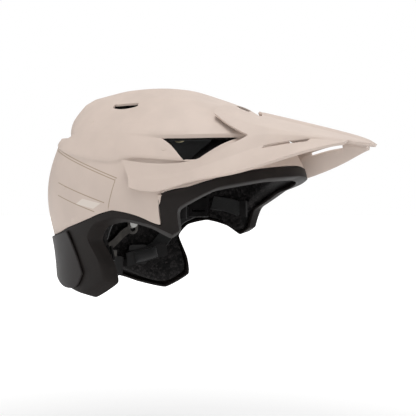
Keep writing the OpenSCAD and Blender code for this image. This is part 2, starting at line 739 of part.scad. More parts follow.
buckle_long = 21;
buckle_high = 22;
buckle_at = [144.2, -64.6];
module buckle_body() {
    linear_extrude(buckle_t) offset(3) square([buckle_high - 6, buckle_long - 6], center = true);
}
module buckle_socket() {
    color("#141414")
        on_wall(buckle_at[0], buckle_at[1], 2.3)
            difference() {
                buckle_body();
                translate([0, buckle_long / 2, buckle_t / 2]) cube([12, buckle_long * 1.4, 3.4], center = true);
            }
}
module buckle_tongue() {
    color("#141414")
        left_or_right(-1)
            on_wall(buckle_at[0] - 1.7, buckle_at[1], 2.3) {
                linear_extrude(buckle_t) offset(2) square([buckle_high - 4, buckle_long / 2 - 4], center = true);
                translate([0, buckle_long / 2 - 4, buckle_t / 2]) cube([11, buckle_long * 0.6, 3], center = true);
            }
}

// Fit system: a dial at the nape pulls two toothed bands together
dial_z = -dial_drop;
dial_back = cavity_at([180, dial_z], 0)[0] + 2.4;
housing_back = dial_back + dial_t + seat_gap;
housing_wall = 1.6;
channel = 3.6;
housing_half = 16;
rack_h = 4.4;
rack_clear = 0.3;
housing_top = pinion_r + rack_h + rack_clear + housing_wall;
tooth = PI * 2 * pinion_r / pinion_teeth;
shaft_r = 2.5;
module facing_front(x, z) { translate([x, 0, z]) rotate([90, 0, 90]) children(); }
module dial_knob() {
    color("#1a1a1a")
        facing_front(dial_back, dial_z)
            difference() {
                linear_extrude(dial_t)
                    difference() {
                        circle(r = dial_r);
                        for (i = [0:17]) rotate(i * 20) translate([dial_r + 0.7, 0]) circle(r = 1.5, $fn = 16);
                    }
                translate([0, 0, dial_t - 3]) cylinder(r = shaft_r, h = 4);
            }
}
module dial_pinion() {
    color("#6f6f6f")
        facing_front(housing_back + housing_wall + 0.3, dial_z) {
            linear_extrude(channel - 0.6)
                union() {
                    circle(r = pinion_r - 0.7);
                    for (i = [0:pinion_teeth - 1])
                        rotate((i + 0.5) * 360 / pinion_teeth + 90)
                            polygon([
                                [0, -tooth * 0.26], [pinion_r - 0.6, -tooth * 0.21], [pinion_r + 0.5, -tooth * 0.1],
                                [pinion_r + 0.5, tooth * 0.1], [pinion_r - 0.6, tooth * 0.21], [0, tooth * 0.26]
                            ]);
                }
            translate([0, 0, -housing_wall - 0.6 - 2.6]) cylinder(r = shaft_r - 0.05, h = housing_wall + 3.3);
        }
}
module dial_housing() {
    depth = 2 * housing_wall + channel;
    color("#242424")
        difference() {
            facing_front(housing_back, dial_z)
                linear_extrude(depth)
                    offset(3) square([2 * housing_half - 6, 2 * housing_top - 6], center = true);
            translate([housing_back + housing_wall, -housing_half - 1, dial_z - housing_top + housing_wall])
                cube([channel, 2 * housing_half + 2, 2 * (housing_top - housing_wall)]);
            facing_front(housing_back - 1, dial_z) cylinder(r = shaft_r + 0.05, h = housing_wall + 2);
        }
}
// A toothed bar whose teeth point down, from y0 to y1, with its pitch line on the pinion's top
module rack(y0, y1) {
    x0 = housing_back + housing_wall + (channel - band_t) / 2;
    translate([x0, 0, dial_z])
        rotate([90, 0, 90])
            linear_extrude(band_t) {
                translate([y0, pinion_r + 0.9]) square([y1 - y0, rack_h - 1.05]);
                for (i = [ceil(y0 / tooth) : floor(y1 / tooth) - 1])
                    polygon([
                        [i * tooth - tooth * 0.2, pinion_r + 1.1], [i * tooth - tooth * 0.08, pinion_r - 0.35],
                        [i * tooth + tooth * 0.08, pinion_r - 0.35], [i * tooth + tooth * 0.2, pinion_r + 1.1]
                    ]);
            }
}
band_deep = 12.2;
band_path = [[119, -58], [128, -61], [138, -65], [150, -68], [158.5, -70]];
module band_arm() {
    line = smooth_line(band_path, 3);
    half = band_h / 2;
    cavity_patch(strap_edge(line, -half), strap_edge(line, half), 1, band_deep, band_deep + band_t);
}
// Bar's far end, where a tab joins it to the band's arm outside the housing
band_travel = 5;
rack_near = -11;
tab_deep = 5.6;
rack_far = housing_half + band_travel + 5;
module band(side) {
    low = side > 0 ? -band_h / 2 : -(pinion_r + rack_h + 6);
    rack_x = housing_back + housing_wall + (channel - band_t) / 2;
    color("#2c2c2c") {
        left_or_right(side) {
            band_arm();
            translate([rack_x, rack_far - 3.5, dial_z + 6 + low])
                cube([tab_deep, 5, pinion_r + rack_h - 6.15 - low]);
        }
        if (side > 0) rack(rack_near, rack_far);
        else translate([0, 0, 2 * dial_z]) rotate([180, 0, 0]) rack(rack_near, rack_far);
    }
}
module band_left() { band(1); }
module band_right() { band(-1); }
module nape_pad(side) {
    line = smooth_line([band_path[1], band_path[2], band_path[3]], 3);
    color("#1d1d1d")
        left_or_right(side)
            pad_patch(strap_edge(line, -6), strap_edge(line, 6), 4, band_deep + band_t + seat_gap, 4);
}
module nape_pad_left() { nape_pad(1); }
module nape_pad_right() { nape_pad(-1); }

snap_at = [146, -30];
snap_r = 2.4;
snap_base = 1.3;
height_travel = 6;
yoke_deep = 4.8;
yoke_wall = 2;
yoke_path = [[150.2, -36.5], [156, -40], [168, -51], [179.9, dial_z + dial_r + 4.2]];
module yoke_eye() {
    on_wall(snap_at[0], snap_at[1], snap_base)
        translate([0, 0, yoke_deep - snap_base])
            linear_extrude(yoke_wall)
                difference() {
                    hull() for (v = [1, -1]) translate([v * height_travel, 0]) circle(r = snap_r + 3.4);
                    hull() for (v = [1, -1]) translate([v * height_travel, 0]) circle(r = snap_r + 0.4);
                }
}
module cradle_yoke() {
    line = smooth_line(yoke_path, 3);
    neck_z = dial_z + housing_top;
    neck_low = dial_z + dial_r + 1.1;
    neck_back = cavity_at([180, neck_low], -yoke_deep)[0];
    neck_half = 7;
    neck_deep = 5;
    color("#6b6b6b") {
        for (side = [1, -1]) left_or_right(side) {
            cavity_patch(strap_edge(line, -4), strap_edge(line, 4), 1, yoke_deep, yoke_deep + yoke_wall);
            yoke_eye();
        }
        // The neck runs over the dial and down to the housing
        translate([neck_back, -neck_half, neck_low])
            cube([housing_back + neck_deep - neck_back, 2 * neck_half, yoke_wall]);
        translate([housing_back + 0.8, -neck_half, neck_z])
            cube([neck_deep - 0.8, 2 * neck_half, neck_low + yoke_wall - neck_z]);
    }
}
module cradle_snaps() {
    color("#b9b9b4")
        for (side = [1, -1])
            left_or_right(side)
                on_wall(snap_at[0], snap_at[1], snap_base) {
                    cylinder(r = 5, h = 1.2);
                    cylinder(r = snap_r, h = yoke_deep + yoke_wall + 1.6);
                    translate([0, 0, yoke_deep + yoke_wall + 1]) cylinder(r = 4.2, h = 1.2);
                }
}

foam_liner();
outer_shell();
lower_shell();
rear_cover();
visor();
visor_pins();
pivot_bushes();
slip_liner();
liner_anchors();
brow_pad();
front_crown_pad();
rear_crown_pad();
side_pad_left();
side_pad_right();
strap_anchors();
front_strap_left();
front_strap_right();
rear_strap_left();
rear_strap_right();
strap_divider_left();
strap_divider_right();
chin_strap_left();
chin_strap_right();
buckle_socket();
buckle_tongue();
cradle_yoke();
cradle_snaps();
dial_housing();
dial_knob();
dial_pinion();
band_left();
band_right();
nape_pad_left();
nape_pad_right();
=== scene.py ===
"""Mountain bike helmet with a tilting visor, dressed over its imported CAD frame.

Lengths are millimetres while a piece is shaped and metres in its mesh. +X is the front, +Y the wearer's
left, +Z up, and the origin is the middle of the head cavity, level with its widest ring.
"""

import json
import logging
import math
from collections.abc import Callable, Sequence
from dataclasses import dataclass
from enum import Enum

import bpy
import numpy as np
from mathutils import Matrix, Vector


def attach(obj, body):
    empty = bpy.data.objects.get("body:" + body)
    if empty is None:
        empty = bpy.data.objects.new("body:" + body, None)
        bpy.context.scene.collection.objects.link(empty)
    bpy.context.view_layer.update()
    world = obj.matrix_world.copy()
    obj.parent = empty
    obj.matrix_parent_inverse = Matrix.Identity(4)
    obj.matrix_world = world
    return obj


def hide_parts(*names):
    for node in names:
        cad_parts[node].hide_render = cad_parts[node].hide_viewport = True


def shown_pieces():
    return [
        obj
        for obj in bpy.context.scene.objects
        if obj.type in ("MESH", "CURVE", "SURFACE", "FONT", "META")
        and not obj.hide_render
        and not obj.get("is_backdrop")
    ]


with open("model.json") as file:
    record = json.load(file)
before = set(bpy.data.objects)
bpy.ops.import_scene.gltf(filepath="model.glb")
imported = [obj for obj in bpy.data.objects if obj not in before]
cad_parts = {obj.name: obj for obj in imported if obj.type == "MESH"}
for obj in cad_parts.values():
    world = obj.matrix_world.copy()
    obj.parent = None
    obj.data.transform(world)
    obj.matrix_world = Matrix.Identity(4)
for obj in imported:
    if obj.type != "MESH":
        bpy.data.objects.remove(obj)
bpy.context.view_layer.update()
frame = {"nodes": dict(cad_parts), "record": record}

LOG = logging.getLogger("helmet")
MM = 0.001
WORN: dict[str, str] = {}
Line = tuple[tuple[float, float], ...]


class Side(Enum):
    """One side of the helmet, as the sign of its Y."""

    LEFT = 1
    RIGHT = -1

    @property
    def word(self) -> str:
        """The side's name in a piece's name."""
        return self.name.lower()


# ---- Bench: the few tools that every piece is made with


class Bench:
    """Selection, edit mode and modifiers, each as one step of hand work."""

    @staticmethod
    def clear() -> None:
        """Leaves object mode with nothing selected."""
        if bpy.context.object and bpy.context.object.mode != "OBJECT":
            bpy.ops.object.mode_set(mode="OBJECT")
        bpy.ops.object.select_all(action="DESELECT")

    @staticmethod
    def take(piece: bpy.types.Object) -> None:
        """Selects one piece alone and makes it the active one."""
        Bench.clear()
        piece.select_set(True)
        bpy.context.view_layer.objects.active = piece

    @staticmethod
    def edit(piece: bpy.types.Object, mode: str = "FACE", everything: bool = False) -> None:
        """Opens a piece in edit mode.

        Args:
            piece: The piece to open.
            mode: What is selected, VERT, EDGE or FACE.
            everything: True to start with all of it selected.
        """
        Bench.take(piece)
        bpy.ops.object.mode_set(mode="EDIT")
        bpy.ops.mesh.select_mode(type=mode)
        bpy.ops.mesh.select_all(action="SELECT" if everything else "DESELECT")

    @staticmethod
    def close() -> None:
        """Goes back to object mode."""
        bpy.ops.object.mode_set(mode="OBJECT")

    @staticmethod
    def modify(piece: bpy.types.Object, kind: str, **values: object) -> None:
        """Adds a modifier with its values and applies it.

        Args:
            piece: The piece to change.
            kind: Blender's name of the modifier's type.
            **values: The modifier's settings.
        """
        Bench.take(piece)
        step = piece.modifiers.new(kind.title(), kind)
        for key, value in values.items():
            setattr(step, key, value)
        bpy.ops.object.modifier_apply(modifier=step.name)

    @staticmethod
    def round_edges(piece: bpy.types.Object, width: float, segments: int, angle: float) -> None:
        """Rounds the edges above an angle in degrees, to a width in millimetres."""
        values = {"segments": segments, "limit_method": "ANGLE", "angle_limit": math.radians(angle)}
        Bench.modify(piece, "BEVEL", width=width * MM, **values)

    @staticmethod
    def thicken(piece: bpy.types.Object, wall: float, side: float, even: bool = False) -> None:
        """Gives a sheet a wall in millimetres, on its outer side for 1 and its inner side for -1."""
        Bench.modify(piece, "SOLIDIFY", thickness=wall * MM, offset=side, use_even_offset=even)

    @staticmethod
    def subdivide(piece: bpy.types.Object, levels: int, **values: object) -> None:
        """Smooths a cage by subdivision."""
        Bench.modify(piece, "SUBSURF", levels=levels, render_levels=levels, **values)

    @staticmethod
    def seat(piece: bpy.types.Object) -> bpy.types.Object:
        """Puts a piece's place into its mesh, so that its object is at the origin."""
        Bench.take(piece)
        bpy.ops.object.transform_apply(location=True, rotation=True, scale=True)
        return piece

    @staticmethod
    def clean(piece: bpy.types.Object, gap: float = 2e-5, turn: bool = True) -> None:
        """Merges doubled points and turns all faces outwards.

        Args:
            piece: The piece to clean.
            gap: Points closer than this, in metres, are merged.
            turn: False to leave the faces as they point.
        """
        Bench.edit(piece, "VERT", True)
        bpy.ops.mesh.remove_doubles(threshold=gap)
        if turn:
            bpy.ops.mesh.normals_make_consistent(inside=False)
        Bench.close()

    @staticmethod
    def smooth(piece: bpy.types.Object, angle: float = 30) -> None:
        """Shades a piece smooth, with sharp edges above an angle in degrees."""
        Bench.take(piece)
        bpy.ops.object.shade_smooth_by_angle(angle=math.radians(angle))

    @staticmethod
    def wrap(name: str, rows: np.ndarray) -> bpy.types.Object:
        """Lays a flat grid over rows of points.

        Args:
            name: The new piece's name.
            rows: Points in millimetres, rows by columns by three.

        Returns:
            The new piece, with its points in the order of the rows.
        """
        across, along = rows.shape[1] - 1, rows.shape[0] - 1
        Bench.clear()
        bpy.ops.mesh.primitive_grid_add(x_subdivisions=across, y_subdivisions=along, size=1)
        piece = bpy.context.object
        piece.name = name
        piece.data.name = name
        piece.data.vertices.foreach_set("co", (rows * MM).reshape(-1).astype(np.float32))
        piece.data.update()
        for layer in list(piece.data.uv_layers):
            piece.data.uv_layers.remove(layer)
        return piece

    @staticmethod
    def cells(piece: bpy.types.Object, columns: int, wanted: Callable[[int, int], bool]) -> None:
        """Deletes the cells of a wrapped grid that a test wants gone.

        Args:
            piece: The piece, straight from wrap.
            columns: How many cells one row has.
            wanted: Takes a cell's row and column.
        """
        Bench.edit(piece)
        Bench.close()
        for face in piece.data.polygons:
            face.select = bool(wanted(*divmod(min(face.vertices), columns + 1)))
        bpy.ops.object.mode_set(mode="EDIT")
        bpy.ops.mesh.delete(type="FACE")
        Bench.close()

    @staticmethod
    def crease(piece: bpy.types.Object, columns: int, value: Callable[[int, int, bool], float]) -> None:
        """Creases the edges of a wrapped grid for the subdivision to come.

        Args:
            piece: The piece, straight from wrap.
            columns: How many cells one row has.
            value: Takes an edge's row and column, and whether it runs along the row, and gives 0 to 1.
        """
        layer = piece.data.attributes.new("crease_edge", "FLOAT", "EDGE")
        for edge in piece.data.edges:
            first, second = sorted(edge.vertices)
            row, column = divmod(first, columns + 1)
            layer.data[edge.index].value = value(row, column, second // (columns + 1) == row)

    @staticmethod
    def measure(piece: bpy.types.Object, rows: np.ndarray) -> None:
        """Gives a wrapped grid a UV map in metres along its rows and across them."""
        lengths = np.zeros(rows.shape[:2])
        lengths[:, 1:] = np.cumsum(np.linalg.norm(np.diff(rows, axis=1), axis=2), axis=1)
        widths = np.zeros(rows.shape[:2])
        widths[1:] = np.cumsum(np.linalg.norm(np.diff(rows, axis=0), axis=2), axis=0)
        flat = (np.stack([lengths, widths], 2) * MM).reshape(-1, 2)
        layer = piece.data.uv_layers.new(name="strap")
        for loop in piece.data.loops:
            layer.data[loop.index].uv = flat[loop.vertex_index]

    @staticmethod
    def join(pieces: Sequence[bpy.types.Object], name: str) -> bpy.types.Object:
        """Joins several pieces into one.

        Args:
            pieces: The pieces, of which the first takes in the rest.
            name: The joined piece's name.

        Returns:
            The joined piece.
        """
        Bench.take(pieces[0])
        for piece in pieces[1:]:
            piece.select_set(True)
        if len(pieces) > 1:
            bpy.ops.object.join()
        joined = bpy.context.object
        joined.name = name
        joined.data.name = name
        return joined


def ride(piece: bpy.types.Object, body: str, slot: str, *nodes: str) -> bpy.types.Object:
    """Hands a finished piece to the frame.

    Args:
        piece: The piece.
        body: The body that it moves with.
        slot: The record's material slot.
        *nodes: The CAD nodes that it stands for.

    Returns:
        The piece.
    """
    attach(piece, body)
    WORN[piece.name] = slot
    if nodes:
        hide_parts(*nodes)
    LOG.info("%s on %s, %d faces", piece.name, body, len(piece.data.polygons))
    return piece


# ---- Form: the smooth body and the head cavity that all shells are laid on


@dataclass(frozen=True)
class Dome:
    """A rounded dome over a plan, with walls that draw in below its widest ring.

    Attributes:
        length: Half its length.
        half_width: Half its width.
        height: Its height over the widest ring.
        crown_back: How far its crown lies behind the middle.
        fall: Share of the plan by which the walls draw in far below.
        roundness: Power of its curves, 1 for an ellipsoid and less for fuller shoulders.
        level_step: Millimetres for one degree of level below the widest ring.
        fall_level: Level at which half of the fall is reached.
        nape: Share of the fall that the rear doesn't take.
        tail: How much longer the rear is than the front.
        tail_level: Level at which that extra length has faded.
        rounds: Rounds taken to find a height.
        first_level: Level at which that search starts.
    """

    length: float
    half_width: float
    height: float
    crown_back: float
    fall: float
    roundness: float = 0.93
    level_step: float = 2.0
    fall_level: float = 20.0
    nape: float = 0.0
    tail: float = 0.0
    tail_level: float = 30.0
    rounds: int = 40
    first_level: float = 45.0

    def reach(self, level: np.ndarray, angle: np.ndarray | float = 0) -> np.ndarray:
        """Share of the plan's size that is left at a level in degrees. The nape's walls draw in less."""
        above = np.maximum(np.cos(np.radians(level)), 0) ** self.roundness
        fall = self.fall * (1 - self.nape * np.maximum(-np.cos(np.radians(angle)), 0))
        below = 1 - fall * (1 - 1 / (1 + (level / self.fall_level) ** 2))
        return np.where(level >= 0, above, below)

    def level_of(self, z: np.ndarray) -> np.ndarray:
        """Level in degrees at a height."""
        z = np.asarray(z, float)
        up = np.degrees(np.arcsin(np.clip(z / self.height, 0, 1) ** (1 / self.roundness)))
        return np.where(z < 0, z / self.level_step, up)

    def height_at(self, level: np.ndarray, off: np.ndarray | float = 0) -> np.ndarray:
        """Height at a level in degrees, at a distance outside the dome."""
        rising = np.sin(np.radians(np.maximum(level, 0)))
        return np.where(level >= 0, (self.height + off) * rising**self.roundness, self.level_step * level)

    def point(self, angle: np.ndarray, level: np.ndarray, off: np.ndarray | float = 0) -> np.ndarray:
        """Point of the dome.

        Args:
            angle: Angle in plan from the front, in degrees.
            level: Level in degrees, 0 at the widest ring and 90 at the crown.
            off: Distance outside the dome.

        Returns:
            The points, with X, Y and Z along the last axis.
        """
        angle, level, off = np.broadcast_arrays(*(np.asarray(v, float) for v in (angle, level, off)))
        c, s = np.cos(np.radians(angle)), np.sin(np.radians(angle))
        rising = np.sin(np.radians(np.maximum(level, 0)))
        reach = self.reach(level, angle)
        x = (self.length + off) * np.sign(c) * np.abs(c) ** self.roundness * reach
        x = x - self.tail * np.maximum(-c, 0) ** 2 * np.clip(1 - level / self.tail_level, 0, 1)
        y = (self.half_width + off) * np.sign(s) * np.abs(s) ** self.roundness * reach
        return np.stack([x - self.crown_back * rising**2, y, self.height_at(level, off)], axis=-1)

    def at(self, angle: np.ndarray, z: np.ndarray, off: np.ndarray | float = 0) -> np.ndarray:
        """Point of the dome at an angle and a height."""
        return self.point(angle, self.level_of(z), off)

    def side_y(self, x: float, z: float) -> float:
        """Half width at a distance in front of the origin and a height."""
        level = float(self.level_of(z))
        reach = float(self.reach(np.float64(level)))
        back = self.crown_back * math.sin(math.radians(max(level, 0))) ** 2
        c = min(1.0, (abs(x + back) / (self.length * reach)) ** (1 / self.roundness))
        return self.half_width * math.sin(math.acos(c)) ** self.roundness * reach

    def top_z(self, x: float, y: float) -> float:
        """Height over a place in plan, found in a few rounds."""
        level = self.first_level
        for _ in range(self.rounds):
            back = self.crown_back * math.sin(math.radians(level)) ** 2
            along = (abs(x + back) / self.length) ** (2 / self.roundness)
            aside = (abs(y) / self.half_width) ** (2 / self.roundness)
            level = (level + math.degrees(math.acos(min(1, math.sqrt(along + aside))))) / 2
        return self.height * math.sin(math.radians(level)) ** self.roundness


BODY = Dome(144, 103, 114, 24, 0.24, nape=0.5, tail=5)
CAVITY = Dome(107, 82, 86, 8, 0.16)
# Millimetres for one degree in plan, at the rim and on the cavity's wall
RIM_STEP = 1.7
WALL_STEP = 1.5


def bend(points: np.ndarray, steps: int, ease: float = 0.5) -> np.ndarray:
    """Curve through points.

    Args:
        points: The points.
        steps: How many steps it takes between two of them.
        ease: 0.5 for a smooth curve, and less for crisper corners with straighter runs.

    Returns:
        The curve's points.
    """
    p = np.asarray(points, float)
    p = np.vstack([p[:1], p, p[-1:]])
    out = []
    for a, b, c, d in zip(p, p[1:], p[2:], p[3:]):
        for t in np.arange(steps) / steps:
            leave, arrive = ease * (c - a), ease * (d - b)
            square = 3 * (c - b) - 2 * leave - arrive
            cubic = 2 * (b - c) + leave + arrive
            out.append(b + leave * t + square * t * t + cubic * t**3)
    return np.array(out + [p[-1]])


def all_round(line: Line, steps: int, ease: float) -> np.ndarray:
    """Closed outline from its left half, whose first point is at the front."""
    half = bend(np.array(line), steps, ease)
    other = half[-2:0:-1].copy()
    other[:, 0] = 360 - other[:, 0]
    return np.vstack([half, other])


def moved(ring: np.ndarray, distance: float) -> np.ndarray:
    """An outline of (angle, height) moved square to itself, up for a positive distance."""
    run = np.roll(ring, -1, 0) - np.roll(ring, 1, 0)
    run[:, 0] = ((run[:, 0] + 180) % 360 - 180) * RIM_STEP
    run /= np.linalg.norm(run, axis=1, keepdims=True)
    return ring + np.stack([-run[:, 1] / RIM_STEP, run[:, 0]], 1) * distance


@dataclass(frozen=True)
class Outlines:
    """The helmet's rim and the lower edge of its painted shell."""

    steps: int = 10
    ease: float = 0.24
    rim: Line = (
        (0, 15), (25, 12), (50, 3.5), (65.5, -14), (65, -34), (70.5, -41.5), (81, -32), (93, -26),
        (104, -31), (109.5, -44), (104, -68), (103, -87), (118.5, -103), (136, -97), (157, -84), (180, -79),
    )
    edge: Line = (
        (0, 30), (22, 27), (44, 21), (64, 8), (76, 1), (75.5, -28), (83, -21), (94.5, -14),
        (107, -22), (115, -27), (121, -30), (127, -33), (134, -37), (146, -40), (163, -42), (180, -43),
    )

    def rims(self, lift: float = 0) -> np.ndarray:
        """The rim's outline, lifted by a distance."""
        return moved(all_round(self.rim, self.steps, self.ease), lift)

    def edges(self, drop: float = 0) -> np.ndarray:
        """The painted shell's lower outline, dropped by a distance."""
        return moved(all_round(self.edge, self.steps, self.ease), -drop)


OUTLINES = Outlines()


def closed(rows: np.ndarray) -> np.ndarray:
    """Rows of rings with each ring's first point added at its end."""
    return np.concatenate([rows, rows[:, :1]], axis=1)


def halved(values: Sequence[float]) -> np.ndarray:
    """A list with the middle of each pair of neighbours put between them."""
    v = np.asarray(values, float)
    out = np.empty(2 * len(v) - 1)
    out[::2], out[1::2] = v, (v[1:] + v[:-1]) / 2
    return out


def across(half: np.ndarray) -> np.ndarray:
    """Angles all round from those of the left half, front to rear."""
    return np.concatenate([half, 360 - half[-2:0:-1]])


def look(line: Line, angle: np.ndarray) -> np.ndarray:
    """Value of a line of (angle, value) pairs at angles, the same on both sides."""
    a, v = zip(*line)
    return np.interp(np.where(angle > 180, 360 - angle, angle), a, v)


# Angles of the shell's columns at the belt, at the vents and at the crown
BELT = across(halved((0, 20, 41, 60, 62.5, 65, 78, 90, 100, 109, 118, 127, 137, 150, 165, 180)))
VENT = across(halved((0, 9.5, 24, 34, 52, 73.5, 82, 91, 101, 110, 119, 128, 138, 150, 168, 180)))
CROWN = across(halved((0, 9.5, 22, 35, 50, 65, 78, 91.5, 101, 110.5, 120, 130, 141, 153, 167, 180)))
COLUMNS = len(BELT)
# Lines of (angle, distance off the body) and, ending in Z, of (angle, height)
RECESS: Line = ((0, 0), (22, 0), (34, -2.5), (74, -2.5), (90, 0), (180, 0))
NOTCH: Line = ((0, 0), (118, 0), (140, -7.2), (155, -11.4), (180, -12))
RISE: Line = ((0, 0), (112, 0), (140, 2.6), (155, 3.8), (180, 4))
RIDGE: Line = ((0, 0), (30, 0), (60, 1.4), (95, 2), (112, 2), (130, 0), (180, 0))
BELT_Z: Line = (
    (0, 48), (30, 46), (57, 31), (66, 31), (88, 36), (95, 31.5), (110, 37), (160, 60), (180, 64),
)
VENT_Z: Line = ((0, 56), (34, 56.5), (70, 55), (90, 59), (130, 66), (180, 74))


@dataclass(frozen=True)
class Seam:
    """One line round the painted shell.

    Attributes:
        angles: Its columns' angles.
        heights: Its height.
        lift: Added to its height.
        offsets: How far it stands off the body, as lines with the share that each has.
        base: Added to that distance.
    """

    angles: tuple[float, ...]
    heights: Line
    lift: float = 0.0
    offsets: tuple[tuple[Line, float], ...] = ()
    base: float = 0.0

    def off(self, angle: np.ndarray) -> np.ndarray:
        """Distance off the body at angles."""
        shares = (share * look(line, angle) for line, share in self.offsets)
        return self.base + sum(shares, np.zeros(len(angle)))


SEAMS = (
    Seam(tuple(BELT), BELT_Z, base=-1.2),
    Seam(tuple(BELT), BELT_Z, lift=1.2),
    Seam(tuple(BELT * 0.45 + VENT * 0.55), ((0, 53), (40, 50), (90, 50), (130, 56), (160, 64), (180, 67)),
         offsets=((RECESS, 0.5),)),
    Seam(tuple(VENT), VENT_Z, offsets=((RECESS, 1.0), (NOTCH, 1.0))),
    Seam(tuple(VENT), VENT_Z, lift=2.5, offsets=((NOTCH, 0.7),)),
    Seam(tuple(CROWN), ((0, 75), (24, 72), (34, 71), (60, 76), (90, 79), (130, 79), (180, 82)),
         offsets=((RISE, 0.1),)),
    Seam(tuple(CROWN), ((0, 88), (30, 86), (60, 89), (90, 89), (112, 88), (130, 93), (180, 99)),
         offsets=((RISE, 1.0),)),
    Seam(tuple(CROWN), ((0, 97), (30, 93), (60, 95.5), (90, 97.5), (112, 97), (130, 100), (180, 103.5)),
         offsets=((RISE, 1.0), (RIDGE, 1.0))),
    Seam(tuple(CROWN), ((0, 108), (90, 109), (180, 110)), offsets=((RISE, 0.2),), base=0.4),
)
# Creases along each seam, as (from angle, to angle, crease)
CREASES: dict[int, tuple[tuple[float, float, float], ...]] = {
    0: ((0, 181, 0.95),),
    1: ((0, 181, 0.95),),
    3: ((30, 78, 0.8), (126, 181, 0.8)),
    4: ((0, 96, 0.9), (96, 112, 0.5), (112, 181, 0.9)),
    6: ((0, 122, 0.3), (122, 181, 0.85)),
    7: ((40, 122, 0.8), (122, 181, 0.6)),
}
# Rows between the shell's edge and its first seam, and how far they keep behind the temple's upright edge
FILL = 4
TEMPLE_PUSH: Line = ((3, 0), (4, 1.75), (4.5, 5.5), (5, 7.5), (6, 3), (7, 0))
CAGE = Outlines(steps=2, ease=0.5)
# Height on the body, and the height on the cavity that belongs to it
INNER_Z: Line = (
    (-120, -120), (58, 58), (72, 63.5), (88, 70), (96, 74.5), (103, 78.5), (110, 82.5), (114, 86),
)


@dataclass(frozen=True)
class Opening:
    """A vent as a block of cells between seams: the seam below it, the rows it takes and its columns."""

    row: int
    rows: int
    first: int
    last: int

    def loop(self) -> list[tuple[int, int]]:
        """Its corners as (seam, column), once round."""
        top = self.row + self.rows
        end = self.last + 1
        return (
            [(self.row, c) for c in range(self.first, end)]
            + [(r, end) for r in range(self.row, top)]
            + [(top, c) for c in range(end, self.first, -1)]
            + [(r, self.first) for r in range(top, self.row, -1)]
        )

    def other_side(self) -> "Opening":
        """The same vent on the other side."""
        return Opening(self.row, self.rows, COLUMNS - 1 - self.last, COLUMNS - 1 - self.first)


SIDE_VENT = Opening(1, 2, 6, 9)
FRONT_VENT = Opening(4, 1, 2, 3)
REAR_VENT = Opening(2, 1, 26, 27)
CROWN_VENT = Opening(6, 1, 13, 15)
MIDDLE_VENT = Opening(6, 1, -2, 1)
PAIRED = (SIDE_VENT, FRONT_VENT, REAR_VENT, CROWN_VENT)
VENTS = (*PAIRED, *(v.other_side() for v in PAIRED), MIDDLE_VENT)


def open_cell(seam: int, column: int) -> bool:
    """Whether the cell above a seam, at a column, is part of a vent."""
    return any(
        v.row <= seam < v.row + v.rows and (column - v.first) % COLUMNS <= v.last - v.first for v in VENTS
    )


@dataclass(frozen=True)
class Skin:
    """Rings of a dome's skin along the seams, at a distance off its surface."""

    dome: Dome
    depth: float
    follow: bool

    def lay(self, angle: np.ndarray, level: np.ndarray, off: np.ndarray | float) -> np.ndarray:
        """Ring of points, where the level counts on the body."""
        if self.follow:
            return self.dome.point(angle, level, off + self.depth)
        z, inner = zip(*INNER_Z)
        return self.dome.at(angle, np.interp(BODY.height_at(level), z, inner), self.depth)

    def seam(self, row: int) -> np.ndarray:
        """Ring along seam number row. Rows below 0 fill the way down to the shell's edge."""
        top = SEAMS[max(row, 0)]
        angle = np.array(top.angles)
        level = BODY.level_of(look(top.heights, angle) + top.lift)
        off = top.off(angle)
        if row < 0:
            edge, v = CAGE.edges(), 1 + row / FILL
            point = np.arange(COLUMNS) / CAGE.steps
            half = COLUMNS / CAGE.steps / 2
            push = look(TEMPLE_PUSH, np.minimum(point, 2 * half - point)) * math.sin(math.pi * v)
            angle = edge[:, 0] * (1 - v) + angle * v + np.where(point < half, push, -push)
            level = BODY.level_of(edge[:, 1]) * (1 - v) + level * v
            off = off * v
        return self.lay(angle, level, off)

    def under(self, v: float, lift: float) -> np.ndarray:
        """Ring between the rim, lifted by a distance, and the painted shell's edge."""
        rim, edge = CAGE.rims(lift), CAGE.edges()
        angle = rim[:, 0] * (1 - v) + edge[:, 0] * v
        return self.lay(angle, BODY.level_of(rim[:, 1]) * (1 - v) + BODY.level_of(edge[:, 1]) * v, 0)

    def crown(self, rings: int = 3) -> list[np.ndarray]:
        """Rings that close the dome above the last seam, and its top point as a ring."""
        last = SEAMS[-1]
        angle = np.array(last.angles)
        level = BODY.level_of(look(last.heights, angle))
        off = last.off(angle)
        out = []
        for v in np.linspace(0, 1, rings + 2)[1:]:
            out.append(self.lay(angle, level * (1 - v) + 90 * v, off * (1 - v) + last.base * v))
        return out


